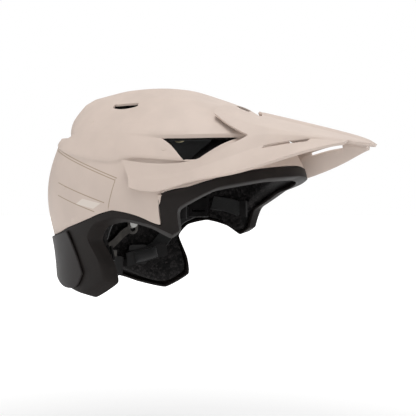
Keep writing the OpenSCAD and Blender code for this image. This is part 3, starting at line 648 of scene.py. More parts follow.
@dataclass
class OuterShell:
    """The painted upper shell, lofted along its seams, with its vents left open.

    Attributes:
        wall: Its thickness.
        corners: Corners of its lower edge that stay crisp, as points of the edge's outline.
        corner_crease: Crease at those corners.
        vent_crease: Crease at the side vent's corners.
        hood: How far the skin over a crown vent is drawn down to it.
        scoop_deep: Depth of the hollow in front of a crown vent.
    """

    wall: float = 2.4
    corners: tuple[int, ...] = (3, 4, 5, 7, 8)
    corner_crease: float = 0.9
    vent_crease: float = 0.75
    hood: float = 0.6
    scoop_deep: float = 2.2

    @staticmethod
    def sharpness(row: int, column: int, along: bool) -> float:
        """Crease of an edge: the belt's ledge, the lip over the vents, the notch and the ridge."""
        angle = CROWN[column % COLUMNS]
        angle = min(angle, 360 - angle)
        spans = CREASES.get(row - FILL, ()) if along else ()
        return next((value for start, end, value in spans if start <= angle < end), 0.0)

    def scoop(self, rows: np.ndarray) -> None:
        """Draws the skin down over the crown's vents as a hood, and hollows the run into them."""
        for vent in (CROWN_VENT, CROWN_VENT.other_side(), MIDDLE_VENT):
            first, last = vent.first, vent.last + 1
            low, high = rows[FILL + vent.row], rows[FILL + vent.row + 1]
            for column in range(first, last + 1):
                high[column] = low[column] * self.hood + high[column] * (1 - self.hood)
                if first < column < last:
                    low[column] *= 1 - self.scoop_deep / np.linalg.norm(low[column])

    def build(self) -> bpy.types.Object:
        """Makes the shell."""
        skin = Skin(BODY, 0, True)
        rows = np.array([skin.seam(r) for r in range(-FILL, len(SEAMS))] + skin.crown())
        self.scoop(rows)
        rows = closed(rows)
        shell = Bench.wrap("painted_shell", rows)
        Bench.crease(shell, COLUMNS, self.sharpness)
        corners = shell.data.attributes.new("crease_vert", "FLOAT", "POINT")
        for point in self.corners:
            for column in (CAGE.steps * point, COLUMNS - CAGE.steps * point):
                corners.data[column].value = self.corner_crease
        for vent in (SIDE_VENT, SIDE_VENT.other_side()):
            for row in (vent.row, vent.row + vent.rows):
                for column in (vent.first, vent.last + 1):
                    corners.data[(row + FILL) * (COLUMNS + 1) + column].value = self.vent_crease
        Bench.cells(shell, COLUMNS, lambda row, column: open_cell(row - FILL, column))
        Bench.clean(shell, turn=False)
        Bench.subdivide(shell, 2)
        Bench.thicken(shell, self.wall, -1)
        Bench.round_edges(shell, 0.35, 2, 55)
        Bench.smooth(shell, 32)
        return shell


@dataclass
class LowerShell:
    """The black lower shell, which turns in under the foam.

    Attributes:
        wall: Its thickness.
        turn: How far its lip reaches in.
        seat: How far it lies under the body's surface.
        chamfer: Height that the lip falls on its way in.
        rows: Rows between the painted shell's edge and the rim.
        last_row: Place of the last of them, 0 at the rim.
        corner_row: Place of the row that rounds the rim's corner.
        corner_in: How far that row lies further in.
        lip_steps: Distances from the body of the lip's rows.
        lip_round: Height of the row that rounds the lip's end.
        inner_rows: Places of the rows on the way back up.
        outlines: The lines it runs between.
    """

    wall: float = 2.4
    turn: float = 12.4
    seat: float = 0.3
    chamfer: float = 4
    rows: int = 14
    last_row: float = 0.06
    corner_row: float = 0.02
    corner_in: float = 0.5
    lip_steps: tuple[float, ...] = (1.6, 5, 11.6)
    lip_round: float = 0.6
    inner_rows: tuple[float, ...] = (0.2, 0.5, 0.8, 1)
    outlines: Outlines = OUTLINES

    def ring(self, rim: np.ndarray, edge: np.ndarray, v: float, off: float) -> np.ndarray:
        """Ring of points between the rim and the edge, at a distance off the body."""
        level = BODY.level_of(rim[:, 1]) * (1 - v) + BODY.level_of(edge[:, 1]) * v
        return BODY.point(rim[:, 0] * (1 - v) + edge[:, 0] * v, level, off)

    def lip(self, rim: np.ndarray, deep: float) -> np.ndarray:
        """Ring on the way from the body in to the cavity."""
        a = BODY.at(rim[:, 0], rim[:, 1], -self.seat)
        b = CAVITY.at(rim[:, 0], rim[:, 1], 0)
        return a + (b - a) * deep / np.linalg.norm(b - a, axis=1, keepdims=True)

    def build(self) -> bpy.types.Object:
        """Makes the shell as one closed wall."""
        rim, edge = self.outlines.rims(self.chamfer), self.outlines.edges(2 * self.seat)
        high = self.outlines.rims(self.chamfer + self.wall)
        rows = [self.ring(rim, edge, v, -self.seat) for v in np.linspace(1, self.last_row, self.rows)]
        rows.append(self.ring(rim, edge, self.corner_row, -self.seat - self.corner_in))
        for deep in self.lip_steps:
            rows.append(self.lip(self.outlines.rims(self.chamfer * (1 - deep / self.turn)), deep))
        rows.append(self.lip(self.outlines.rims(self.lip_round), self.turn))
        rows.append(self.lip(self.outlines.rims(self.wall), self.turn))
        rows.append(self.lip(high, self.wall))
        rows += [self.ring(high, edge, v, -self.seat - self.wall) for v in self.inner_rows]
        rows = closed(np.array(rows + [rows[0]]))
        shell = Bench.wrap("lower_skin", rows)
        Bench.clean(shell)
        Bench.smooth(shell, 35)
        return shell


@dataclass
class FoamLiner:
    """The impact foam between the shells and the head.

    Attributes:
        off: How far it lies under the body's surface.
        lift: How far it ends above the rim.
        under_rows: Rows between its lower end and the painted shell's edge.
        wall_rows: Places of the rows in a vent's wall.
        room_size: Size of the finger room behind the dial.
        room_place: Middle of that room.
    """

    off: float = 3.35
    lift: float = 3.6
    under_rows: int = 3
    wall_rows: tuple[float, ...] = (0, 0.12, 0.88, 1)
    room_size: tuple[float, float, float] = (7, 36, 60)
    room_place: tuple[float, float, float] = (-95.5, 0, -82)

    def build(self) -> bpy.types.Object:
        """Makes the foam as one closed solid with walled vents."""
        skins = (Skin(BODY, -self.off, True), Skin(CAVITY, 0, False))
        sheets = []
        for skin in skins:
            lift = self.lift + (LowerShell.chamfer if skin.follow else 0)
            rings = [skin.under(v, lift) for v in np.linspace(0, 1, self.under_rows + 1)[:-1]]
            rings += [skin.seam(r) for r in range(-FILL, len(SEAMS))] + skin.crown()
            sheets.append(np.array(rings))
        outer, inner = sheets
        high = len(outer)
        foam = Bench.wrap("impact_foam", closed(np.concatenate([inner[::-1], outer])))
        base = FILL + self.under_rows

        def gone(row: int, column: int) -> bool:
            ring = row - high if row >= high else high - 2 - row
            return row != high - 1 and open_cell(ring - base, column)

        Bench.cells(foam, COLUMNS, gone)
        parts = [foam]
        for vent in VENTS:
            loop = [(row + base, column % COLUMNS) for row, column in vent.loop()]
            loop.append(loop[0])
            ends = np.array([[outer[p] for p in loop], [inner[p] for p in loop]])
            wall = ends[0] + (ends[1] - ends[0]) * np.array(self.wall_rows)[:, None, None]
            parts.append(Bench.wrap("vent_wall", wall))
        foam = Bench.join(parts, "impact_foam")
        Bench.clean(foam)
        Bench.subdivide(foam, 2)
        self.recess(foam)
        Bench.smooth(foam, 40)
        return foam

    def recess(self, foam: bpy.types.Object) -> None:
        """Cuts the finger room behind the dial."""
        Bench.clear()
        place, scale = Vector(self.room_place) * MM, Vector(self.room_size) * MM
        bpy.ops.mesh.primitive_cube_add(size=1, location=place, scale=scale)
        cutter = Bench.seat(bpy.context.object)
        Bench.modify(foam, "BOOLEAN", operation="DIFFERENCE", object=cutter, solver="EXACT")
        bpy.data.objects.remove(cutter)


@dataclass
class SlipLiner:
    """The thin low friction liner, which floats just inside the foam.

    Attributes:
        gap: Distance from the cavity's wall.
        wall: Its thickness.
        side_z: Height of its lower edge at the sides and the rear.
        front_z: The same at the front.
        low_rows: Places of the rows between that edge and the first seam.
    """

    gap: float = 1.25
    wall: float = 1.2
    side_z: float = 13
    front_z: float = 19
    low_rows: tuple[float, ...] = (0, 0.33, 0.66)

    def build(self) -> bpy.types.Object:
        """Makes the liner with its vents."""
        skin = Skin(CAVITY, -self.gap, False)
        low = self.side_z + (self.front_z - self.side_z) * np.maximum(np.cos(np.radians(BELT)), 0) ** 2
        first = CAVITY.at(BELT, low, -self.gap)
        second = skin.seam(1)
        heights = (first[:, 2] * (1 - v) + second[:, 2] * v for v in self.low_rows)
        rows = [CAVITY.at(BELT, z, -self.gap) for z in heights]
        rows += [skin.seam(r) for r in range(1, len(SEAMS))] + skin.crown()
        liner = Bench.wrap("slip_liner_sheet", closed(np.array(rows)))
        below = len(self.low_rows) - 1
        Bench.cells(liner, COLUMNS, lambda row, column: open_cell(row - below, column))
        Bench.clean(liner, turn=False)
        Bench.subdivide(liner, 1)
        Bench.thicken(liner, self.wall, -1)
        Bench.smooth(liner, 40)
        return liner


@dataclass
class RearCover:
    """The cover plate at the nape, proud of the lower shell.

    Attributes:
        seat: Distance of its back from the body's surface.
        wall: Its thickness.
        steps: Steps between two points of its outline.
        rows: Rows across it.
        top: Upper line of its left half.
        bottom: Lower line of its left half.
    """

    seat: float = 0.3
    wall: float = 2.2
    steps: int = 6
    rows: int = 13
    top: Line = ((125, -35), (134, -38), (146, -41), (163, -43), (180, -44))
    bottom: Line = ((118, -78), (124, -92), (137, -94), (157, -83), (180, -78))

    def build(self) -> bpy.types.Object:
        """Makes the plate with a rounded border."""
        lines = []
        for half in (self.bottom, self.top):
            left = bend(np.array(half), self.steps)
            right = left[-2::-1].copy()
            right[:, 0] = 360 - right[:, 0]
            lines.append(np.vstack([left, right]))
        low, high = lines
        rows = [BODY.at(*(low * (1 - v) + high * v).T, self.seat) for v in np.linspace(0, 1, self.rows)]
        plate = Bench.wrap("nape_cover", np.array(rows))
        Bench.thicken(plate, self.wall, 1, even=True)
        Bench.round_edges(plate, 1.2, 4, 50)
        Bench.smooth(plate, 35)
        return plate


@dataclass
class Visor:
    """The visor: a centre strip, two crests, air slots, prongs over the shell and arms down to the pivots.

    Its upper face is a cage of lines from the tip back, each with the next one outwards.

    Attributes:
        wall: Its thickness.
        gap: How far it stays off the shell.
        slot: The air slot's strip, and its first and last cell.
        cells: How many cells each strip has, from the middle outwards.
        prong_from: First station that is laid over the shell, in height.
        prongs: The lines that a prong is made of.
        arm_from: First station that is laid on the shell's side, in width.
        arms: The lines that an arm is made of.
        creases: Crease along each line.
        lines: The points (x, y, z), where y or z counts from the shell in the last stations.
    """

    wall: float = 2.6
    gap: float = 2.2
    slot: tuple[int, int, int] = (7, 2, 3)
    cells: tuple[int, ...] = (5, 5, 5, 7, 7, 5, 9, 9, 9)
    prong_from: int = 6
    prongs: tuple[int, ...] = (3, 4, 5)
    arm_from: int = 6
    arms: tuple[int, ...] = (6, 7, 8, 9)
    creases: tuple[float, ...] = (0, 0.8, 0.8, 0, 0.75, 0.5, 0.4, 0.75, 0.75, 0)
    lines: tuple[tuple[tuple[float, float, float], ...], ...] = (
        ((217, 0, 49), (209, 0, 55), (185, 0, 62), (160, 0, 69), (132, 0, 76.5), (105, 0, 83.5)),
        ((215.5, 12, 48.8), (208, 12, 54.6), (185, 12.5, 61.3), (160, 13, 68.3), (132, 13.5, 75.6),
         (106, 13.5, 82.6)),
        ((214.5, 15, 48.5), (206.5, 15.5, 53), (184, 16, 59.3), (159, 16.5, 66), (132, 17, 73),
         (108, 17.5, 79.5)),
        ((207, 24, 49.5), (200.8, 25, 53), (178.8, 27, 58), (156.8, 28, 64), (134.9, 28, 70), (112.9, 27, 76),
         (92.9, 33, 3.5), (79.5, 39, 2.5)),
        ((201, 30, 50.3), (196, 36, 52), (178, 41, 55.5), (158, 45.5, 57.5), (136, 49.5, 62), (112, 51, 67.5),
         (92.9, 53, 4.5), (76.6, 56, 3.5)),
        ((200.8, 31.5, 50.1), (195.6, 38, 51.5), (177, 43.5, 54.5), (157, 48, 56.3), (133.5, 52.5, 59.8),
         (113, 60, 57), (92.9, 60, 3), (77.6, 59, 2.5)),
        ((200.6, 33, 49.8), (195, 39.5, 50.6), (176, 44.5, 53.6), (156, 49.2, 55), (133, 54.5, 58),
         (112.5, 61.5, 55.5), (91, 1, 41.5), (70, 1.5, 29.5), (34, 1.8, 29), (1.5, 2, 34)),
        ((200.2, 35, 49.3), (194, 42, 49.2), (170, 46, 52.2), (152, 51.5, 51), (130, 61, 46.5),
         (112, 70.5, 40), (91, 1, 31), (70, 1, 22), (38, 1.5, 17), (9, 1, 20)),
        ((199.8, 37, 48.8), (193, 45, 47.8), (168.5, 50, 49.4), (150.5, 55.5, 47.8), (129, 64, 43.5),
         (111.5, 72.5, 38), (91, 1.5, 28.5), (70, 1.5, 19.5), (38, 2, 13), (10.5, 1, 16)),
        ((199.5, 40, 48), (190, 50, 46), (167.3, 69, 38.5), (146.3, 77.5, 31), (129.1, 82.5, 25.5),
         (112, 87, 20.5), (92.9, 5, 17), (70, 3, 13), (38, 2.6, 0), (12, 2.4, 7.5)),
    )

    def place(self, line: int, station: int, side: int) -> tuple[float, float, float]:
        """Point of the visor's upper face.

        Args:
            line: Number of the line, 0 at the middle.
            station: Number of the point on it, 0 at the tip.
            side: 1 on the left, -1 on the right.
        """
        points = self.lines[line]
        x, y, z = points[min(station, len(points) - 1)]
        if station >= self.arm_from and line in self.arms:
            y += BODY.side_y(x, z) + self.gap + self.wall
        elif station >= self.prong_from and line in self.prongs:
            z += BODY.top_z(x, y) + self.gap + self.wall
        return x, side * y, z

    def build(self) -> bpy.types.Object:
        """Makes the visor."""
        top = len(self.lines) - 1
        order = list(range(top, -top - 1, -1))
        stations = max(len(line) for line in self.lines)
        rows = np.array([[self.place(abs(k), j, -1 if k < 0 else 1) for j in range(stations)] for k in order])

        def strip(row: int) -> int:
            return min(abs(order[row]), abs(order[row + 1]))

        def gone(row: int, column: int) -> bool:
            number = strip(row)
            in_slot = number == self.slot[0] and self.slot[1] <= column <= self.slot[2]
            return in_slot or column >= self.cells[number]

        def sharp(row: int, column: int, along: bool) -> float:
            return self.creases[abs(order[row])] if along else 0.0

        visor = Bench.wrap("visor_shell", rows)
        Bench.crease(visor, stations - 1, sharp)
        Bench.cells(visor, stations - 1, gone)
        Bench.subdivide(visor, 3, boundary_smooth="PRESERVE_CORNERS")
        Bench.thicken(visor, self.wall, -1)
        Bench.round_edges(visor, 0.55, 3, 60)
        Bench.smooth(visor, 30)
        return visor


def beside(path: np.ndarray, half: float) -> np.ndarray:
    """Line beside a path of (angle, height) on the cavity's wall, at a distance from it."""
    run = np.gradient(path, axis=0)
    run[:, 0] *= WALL_STEP
    run /= np.linalg.norm(run, axis=1, keepdims=True)
    return path + np.stack([-run[:, 1] / WALL_STEP, run[:, 0]], 1) * half


@dataclass(frozen=True)
class Strap:
    """A length of webbing along the cavity's wall."""

    name: str
    nodes: str
    path: Line


@dataclass
class Webbing:
    """The stowed chin straps.

    Attributes:
        width: Width of the webbing.
        thickness: Its thickness.
        deep: Distance of its back from the cavity's wall.
        steps: Steps between two points of a path.
        profile: Places of the rows across it, closer where the selvedges are.
        straps: The straps.
    """

    width: float = 15
    thickness: float = 1.6
    deep: float = 1.45
    steps: int = 10
    profile: tuple[float, ...] = (-1, -0.96, -0.85, -0.4, 0, 0.4, 0.85, 0.96, 1)
    straps: tuple[Strap, ...] = (
        Strap("front_webbing", "front_strap", ((68, -14), (78, -9), (89, -6))),
        Strap("rear_webbing", "rear_strap", ((103, 1), (118, -2), (133, -10))),
        Strap("chin_webbing", "chin_strap", ((102, -16.5), (111, -25), (119, -42), (127, -56), (134, -62))),
    )

    def build(self, strap: Strap, side: Side) -> bpy.types.Object:
        """Makes one strap with selvedges and a weave that follows it."""
        path = bend(np.array(strap.path), self.steps)
        half, off = self.width / 2, -self.deep - self.thickness / 2
        rows = np.array([CAVITY.at(*beside(path, share * half).T, off) for share in self.profile])
        rows[:, :, 1] *= side.value
        piece = Bench.wrap(f"{strap.name}_{side.word}", rows)
        Bench.measure(piece, rows)
        Bench.thicken(piece, self.thickness, 0)
        Bench.round_edges(piece, 0.5, 3, 50)
        Bench.smooth(piece, 40)
        return piece


@dataclass(frozen=True)
class Pad:
    """A comfort pad as a patch on the liner.

    Attributes:
        name: Its name.
        node: The CAD node that it replaces.
        low: First and last angle of its lower line, and that line's height.
        high: The same of its upper line.
        channels: Number of sewn channels across it.
    """

    name: str
    node: str
    low: tuple[float, float, float]
    high: tuple[float, float, float]
    channels: int = 0


@dataclass
class Pads:
    """The fabric pads inside the liner.

    Attributes:
        base: Distance from the cavity's wall to a pad's back.
        thick: Thickness where a pad is full.
        columns: Points along a pad.
        lines: Points across it.
        steep: How fast it rises from its ends and from its long sides.
        pressed: Share of its thickness at the pressed border.
        border: That border's width, as a share of the rise.
        shoulder: Width of the shoulder beside it.
        power: The shoulder's roundness.
        channel: Depth and width of a sewn channel.
        weld: Distance in metres within which its points become one.
        pads: The pads.
    """

    base: float = 3.35
    thick: float = 6.5
    columns: int = 61
    lines: int = 15
    steep: tuple[float, float] = (3, 1.6)
    pressed: float = 0.3
    border: float = 0.12
    shoulder: float = 0.5
    power: float = 0.55
    channel: tuple[float, float] = (0.35, 0.012)
    weld: float = 3e-5
    pads: tuple[Pad, ...] = (
        Pad("brow_cushion", "brow_pad", (-46, 46, 20), (-46, 46, 36), 4),
        Pad("front_crown_cushion", "front_crown_pad", (-38, 38, 66), (-34, 34, 76), 1),
        Pad("rear_crown_cushion", "rear_crown_pad", (142, 218, 60), (146, 214, 74), 1),
        Pad("side_cushion_left", "side_pad_left", (74, 120, 15), (76, 116, 33), 2),
        Pad("side_cushion_right", "side_pad_right", (-74, -120, 15), (-76, -116, 33), 2),
    )

    def swell(self, u: np.ndarray, v: float, channels: int) -> np.ndarray:
        """How full a pad is, from its pressed border to its middle."""
        edge = np.minimum(np.minimum(u, 1 - u) * self.steep[0], min(v, 1 - v) * self.steep[1])
        rise = np.clip((edge - self.border) / self.shoulder, 0, 1) ** self.power
        full = self.pressed + (1 - self.pressed) * rise
        deep, wide = self.channel
        for k in range(1, channels + 1):
            full = full * (1 - deep * np.exp(-(((u - k / (channels + 1)) / wide) ** 2)))
        return full

    def shape(self, name: str, borders: np.ndarray, channels: int) -> bpy.types.Object:
        """Makes one pad between two lines of (angle, height).

        Args:
            name: The piece's name.
            borders: The two lines, two by n by two.
            channels: Number of sewn channels across it.

        Returns:
            The pad, closed and with its faces outwards.
        """
        u = np.linspace(0, 1, borders.shape[1])
        front, back = [], []
        for v in np.linspace(0, 1, self.lines):
            spot = borders[0] * (1 - v) + borders[1] * v
            front.append(CAVITY.at(*spot.T, -self.base - self.thick * self.swell(u, v, channels)))
            back.append(CAVITY.at(*spot.T, -self.base))
        front, back = np.array(front), np.array(back)
        for end in (0, -1):
            front[:, end] = back[:, end] = (front[:, end] + back[:, end]) / 2
        piece = Bench.wrap(name, np.concatenate([front, back[::-1], front[:1]]))
        Bench.clean(piece, self.weld)
        Bench.subdivide(piece, 1)
        Bench.smooth(piece, 60)
        return piece

    def build(self, pad: Pad) -> bpy.types.Object:
        """Makes one pad of the liner."""
        borders = np.array([
            [(angle, z) for angle in np.linspace(first, last, self.columns)]
            for first, last, z in (pad.low, pad.high)
        ])
        return self.shape(pad.name, borders, pad.channels)


@dataclass
class NapePads(Pads):
    """The small pads on the fit bands, each along one path with half its width to both sides."""

    base: float = 14.5
    thick: float = 4
    half: float = 6
    steps: int = 12
    path: Line = ((128, -61), (138, -65), (150, -68))

    def build_side(self, side: Side) -> bpy.types.Object:
        """Makes the pad on one band."""
        line = bend(np.array(self.path), self.steps)
        borders = np.array([beside(line, -self.half), beside(line, self.half)])
        borders[:, :, 0] *= side.value
        return self.shape(f"nape_cushion_{side.word}", borders, 0)


@dataclass
class Plugs:
    """Small round plugs set in the painted shell.

    Attributes:
        radius: Radius of a plug.
        depth: Its length.
        sunk: How far its middle lies under the surface.
        places: Places near the surface, on the left.
    """

    radius: float = 2.6
    depth: float = 1.6
    sunk: float = 0.55
    places: tuple[tuple[float, float, float], ...] = (
        (-54.7, 74.6, 76.1), (39.9, 92.3, 45.1), (-79.5, 88.3, 9.3),
    )

    def build(self, shell: bpy.types.Object) -> bpy.types.Object:
        """Makes all plugs, each lying in the shell's surface."""
        plugs = []
        for side in Side:
            for x, y, z in self.places:
                spot = Vector((x, side.value * y, z)) * MM
                found, place, normal, _ = shell.closest_point_on_mesh(spot)
                if not found:
                    continue
                Bench.clear()
                bpy.ops.mesh.primitive_cylinder_add(
                    vertices=40, radius=self.radius * MM, depth=self.depth * MM,
                    location=place - normal * self.sunk * MM,
                    rotation=normal.to_track_quat("Z", "Y").to_euler(),
                )
                plug = Bench.seat(bpy.context.object)
                Bench.round_edges(plug, 0.3, 3, 50)
                plugs.append(plug)
        joined = Bench.join(plugs, "shell_plugs")
        Bench.smooth(joined, 40)
        return joined


# ---- Finishes: shared groups first, then one material for each slot


class Tree:
    """A node tree with short ways to add nodes and link them."""

    def __init__(self, tree: bpy.types.NodeTree) -> None:
        """Takes the tree that nodes are added to."""
        self.tree = tree

    def feed(self, socket: bpy.types.NodeSocket, value: object) -> None:
        """Links an output to an input, or sets the input's value."""
        if isinstance(value, bpy.types.NodeSocket):
            self.tree.links.new(value, socket)
        else:
            socket.default_value = value

    def add(self, kind: str, settings: dict[str, object] | None = None, **inputs: object) -> bpy.types.Node:
        """Adds a node.

        Args:
            kind: The node's type without the word ShaderNode.
            settings: The node's own settings.
            **inputs: Values or output sockets by input name, with _ for a blank, or i0, i1 by number.

        Returns:
            The node.
        """
        node = self.tree.nodes.new("ShaderNode" + kind)
        for key, value in (settings or {}).items():
            setattr(node, key, value)
        for key, value in inputs.items():
            numbered = key[0] == "i" and key[1:].isdigit()
            self.feed(node.inputs[int(key[1:])] if numbered else node.inputs[key.replace("_", " ")], value)
        return node

    def math(self, operation: str, *values: object, clamp: bool = False) -> bpy.types.NodeSocket:
        """Output of a Math node."""
        inputs = {f"i{n}": value for n, value in enumerate(values)}
        return self.add("Math", {"operation": operation, "use_clamp": clamp}, **inputs).outputs[0]

    def plus(self, first: object, second: object, clamp: bool = False) -> bpy.types.NodeSocket:
        """Sum of two values."""
        return self.math("ADD", first, second, clamp=clamp)

    def minus(self, first: object, second: object) -> bpy.types.NodeSocket:
        """Difference of two values."""
        return self.math("SUBTRACT", first, second)

    def times(self, first: object, second: object, clamp: bool = False) -> bpy.types.NodeSocket:
        """Product of two values."""
        return self.math("MULTIPLY", first, second, clamp=clamp)

    def fineness(self, size: object) -> bpy.types.NodeSocket:
        """Scale of a texture whose cells have a size in millimetres."""
        return self.math("DIVIDE", 1 / MM, size)

    def noise(self, vector: object, scale: object, detail: float, **inputs: object) -> bpy.types.NodeSocket:
        """Output of a noise texture."""
        return self.add("TexNoise", None, Vector=vector, Scale=scale, Detail=detail, **inputs).outputs[0]

    def ramp(self, value: object, low: object, high: object) -> bpy.types.NodeSocket:
        """0 below low, 1 above high and smooth between them."""
        settings = {"interpolation_type": "SMOOTHSTEP", "clamp": True}
        return self.add("MapRange", settings, i0=value, i1=low, i2=high).outputs[0]

    def blend(self, factor: object, first: object, second: object) -> bpy.types.NodeSocket:
        """Colour between two colours."""
        return self.add("Mix", {"data_type": "RGBA"}, i0=factor, i6=first, i7=second).outputs[2]


class Group(Tree):
    """A shared node group with named inputs and outputs."""

    def __init__(self, name: str, inputs: dict[str, object], outputs: tuple[str, ...]) -> None:
        """Makes the group's sockets.

        Args:
            name: The group's name.
            inputs: Default by input name, where None is a vector without one.
            outputs: Names of its outputs, which are all numbers.
        """
        self.data = bpy.data.node_groups.new(name, "ShaderNodeTree")
        super().__init__(self.data)
        for key, value in inputs.items():
            kind = "NodeSocketVector" if value is None else "NodeSocketFloat"
            socket = self.data.interface.new_socket(name=key, in_out="INPUT", socket_type=kind)
            if value is not None:
                socket.default_value = value
        for key in outputs:
            self.data.interface.new_socket(name=key, in_out="OUTPUT", socket_type="NodeSocketFloat")
        self.given = self.tree.nodes.new("NodeGroupInput").outputs
        self.result = self.tree.nodes.new("NodeGroupOutput").inputs

    def put(self, **outputs: bpy.types.NodeSocket) -> bpy.types.NodeTree:
        """Links the group's outputs and gives back the group."""
        for key, socket in outputs.items():
            self.tree.links.new(socket, self.result[key])
        return self.data


class Effects:
    """The effects that several finishes share."""

    BAND_FADE = 0.00015

    def __init__(self) -> None:
        """Builds each group once."""
        self.grain = self.make_grain()
        self.wear = self.make_wear()
        self.band = self.make_band()
        self.weave = self.make_weave()
        self.beads = self.make_beads()
        self.knit = self.make_knit()

    @staticmethod
    def make_grain() -> bpy.types.NodeTree:
        """Fine moulded or sprayed grain: a height, and a slow tone that drifts over the surface."""
        g = Group("moulded_grain", {"Vector": None, "Size": 0.6, "Drift": 30.0}, ("Height", "Tone"))
        spot, fine = g.given["Vector"], g.fineness(g.given["Size"])
        cells = g.add("TexVoronoi", {"feature": "SMOOTH_F1"}, Vector=spot, Scale=fine)
        height = g.plus(cells.outputs["Distance"], g.times(g.noise(spot, fine, 2.0), 0.6))
        tone = g.noise(spot, g.fineness(g.given["Drift"]), 3.0, Roughness=0.55)
        return g.put(Height=height, Tone=tone)

    @staticmethod
    def make_wear() -> bpy.types.NodeTree:
        """Handling marks: rubbed edges, thin scuffs and dust that settles on what faces up."""
        g = Group("handling_wear", {"Vector": None, "Normal": None, "Edge": 0.5, "Amount": 0.5},
                  ("Edges", "Scuffs", "Dust"))
        spot, amount = g.given["Vector"], g.given["Amount"]
        edges = g.times(g.ramp(g.given["Edge"], 0.515, 0.56), g.ramp(g.noise(spot, 85.0, 4.0), 0.42, 0.62))
        drawn = g.add("Mapping", None, Vector=spot, Scale=(18, 160, 420), Rotation=(0.3, 0.5, 0.2)).outputs[0]
        streaks = g.ramp(g.noise(drawn, 2.0, 3.0, Distortion=0.4), 0.67, 0.72)
        scuffs = g.times(streaks, g.ramp(g.noise(spot, 22.0, 1.0), 0.52, 0.62))
        up = g.add("SeparateXYZ", None, Vector=g.given["Normal"]).outputs["Z"]
        dust = g.times(g.ramp(up, 0.1, 0.95), g.ramp(g.noise(spot, 55.0, 5.0), 0.45, 0.75))
        marks = {"Edges": edges, "Scuffs": scuffs, "Dust": dust}
        return g.put(**{key: g.times(mark, amount, clamp=True) for key, mark in marks.items()})

    @classmethod
    def make_band(cls) -> bpy.types.NodeTree:
        """A painted band on both sides: between two X places, round a middle line that falls with X."""
        g = Group("painted_band", {"Vector": None, "Middle": 0.0, "Slope": 0.0, "Half": 0.001, "From": -0.1,
                                   "To": 0.1, "Lean": 0.0, "Clear": 0.05}, ("Mask",))
        spot = g.add("SeparateXYZ", None, Vector=g.given["Vector"])
        x, y, z = (spot.outputs[k] for k in "XYZ")
        away = g.minus(z, g.plus(g.given["Middle"], g.times(x, g.given["Slope"])))
        half, fade = g.given["Half"], cls.BAND_FADE
        mask = g.minus(1.0, g.ramp(g.math("ABSOLUTE", away), g.minus(half, fade), g.plus(half, fade)))
        along = g.plus(x, g.times(away, g.given["Lean"]))
        start, end = g.given["From"], g.given["To"]
        mask = g.times(mask, g.ramp(along, start, g.plus(start, 2 * fade)))
        mask = g.times(mask, g.minus(1.0, g.ramp(along, end, g.plus(end, 2 * fade))))
        aside = g.math("GREATER_THAN", g.math("ABSOLUTE", y), g.given["Clear"])
        return g.put(Mask=g.times(mask, aside))

    @staticmethod
    def make_weave() -> bpy.types.NodeTree:
        """Flat woven webbing on a UV map in metres: ribs across and yarns along."""
        g = Group("webbing_weave", {"Vector": None, "Rib": 1.1, "Yarn": 0.9}, ("Height", "Tone"))
        spot = g.add("SeparateXYZ", None, Vector=g.given["Vector"])
        turn = 2 * math.pi / MM
        along = g.times(spot.outputs["X"], g.math("DIVIDE", turn, g.given["Rib"]))
        side = g.times(spot.outputs["Y"], g.math("DIVIDE", turn, g.given["Yarn"]))
        ribs = g.math("SINE", g.plus(along, g.times(g.math("SINE", side), 1.2)))
        yarns = g.math("ABSOLUTE", g.math("SINE", g.times(side, 0.5)))
        fuzz = g.noise(g.given["Vector"], 1400.0, 3.0)
        tone = g.times(g.plus(g.times(ribs, 0.25), 0.6), fuzz, clamp=True)
        return g.put(Height=g.plus(g.times(ribs, 0.5), yarns), Tone=tone)

    @staticmethod
    def make_beads() -> bpy.types.NodeTree:
        """Fused foam beads: domes, seams between them and a tone for each bead."""
        g = Group("foam_beads", {"Vector": None, "Size": 3.2}, ("Height", "Seam", "Tone"))
        spot, scale = g.given["Vector"], g.fineness(g.given["Size"])
        border = g.add("TexVoronoi", {"feature": "DISTANCE_TO_EDGE"}, Vector=spot, Scale=scale).outputs[0]
        beads = g.add("TexVoronoi", None, Vector=spot, Scale=scale)
        tone = g.add("SeparateColor", None, Color=beads.outputs["Color"]).outputs[0]
        height = g.plus(g.ramp(border, 0.0, 0.3), g.times(g.noise(spot, 900.0, 2.0), 0.25))
        return g.put(Height=height, Seam=g.minus(1.0, g.ramp(border, 0.0, 0.09)), Tone=tone)

    @staticmethod
    def make_knit() -> bpy.types.NodeTree:
        """Knitted fabric as small staggered loops, the same from all sides."""
        g = Group("pad_knit", {"Vector": None, "Loop": 0.9}, ("Height", "Tone"))
        turned = g.add("Mapping", None, Vector=g.given["Vector"], Rotation=(0.4, 0.3, 0.6)).outputs[0]
        loops = g.add("TexVoronoi", {"feature": "F1", "distance": "CHEBYCHEV"}, Vector=turned,
                      Scale=g.fineness(g.given["Loop"]), Randomness=0.25).outputs["Distance"]
        fuzz = g.noise(g.given["Vector"], 2600.0, 2.0)
        return g.put(Height=g.minus(g.times(fuzz, 0.4), loops), Tone=loops)


Colour = tuple[float, float, float]
SAND: Colour = (0.565, 0.470, 0.412)
# Dark brown of the lines of painted shade along the steps of the recessed side panel
PAINTED_SHADE: Colour = (0.36, 0.28, 0.21)
PALE: Colour = (0.67, 0.60, 0.54)
WHITE = (1, 1, 1, 1)


def opaque(colour: Colour, gain: float = 1.0) -> tuple[float, float, float, float]:
    """A colour with its alpha, made lighter or darker."""
    return (min(colour[0] * gain, 1), min(colour[1] * gain, 1), min(colour[2] * gain, 1), 1)


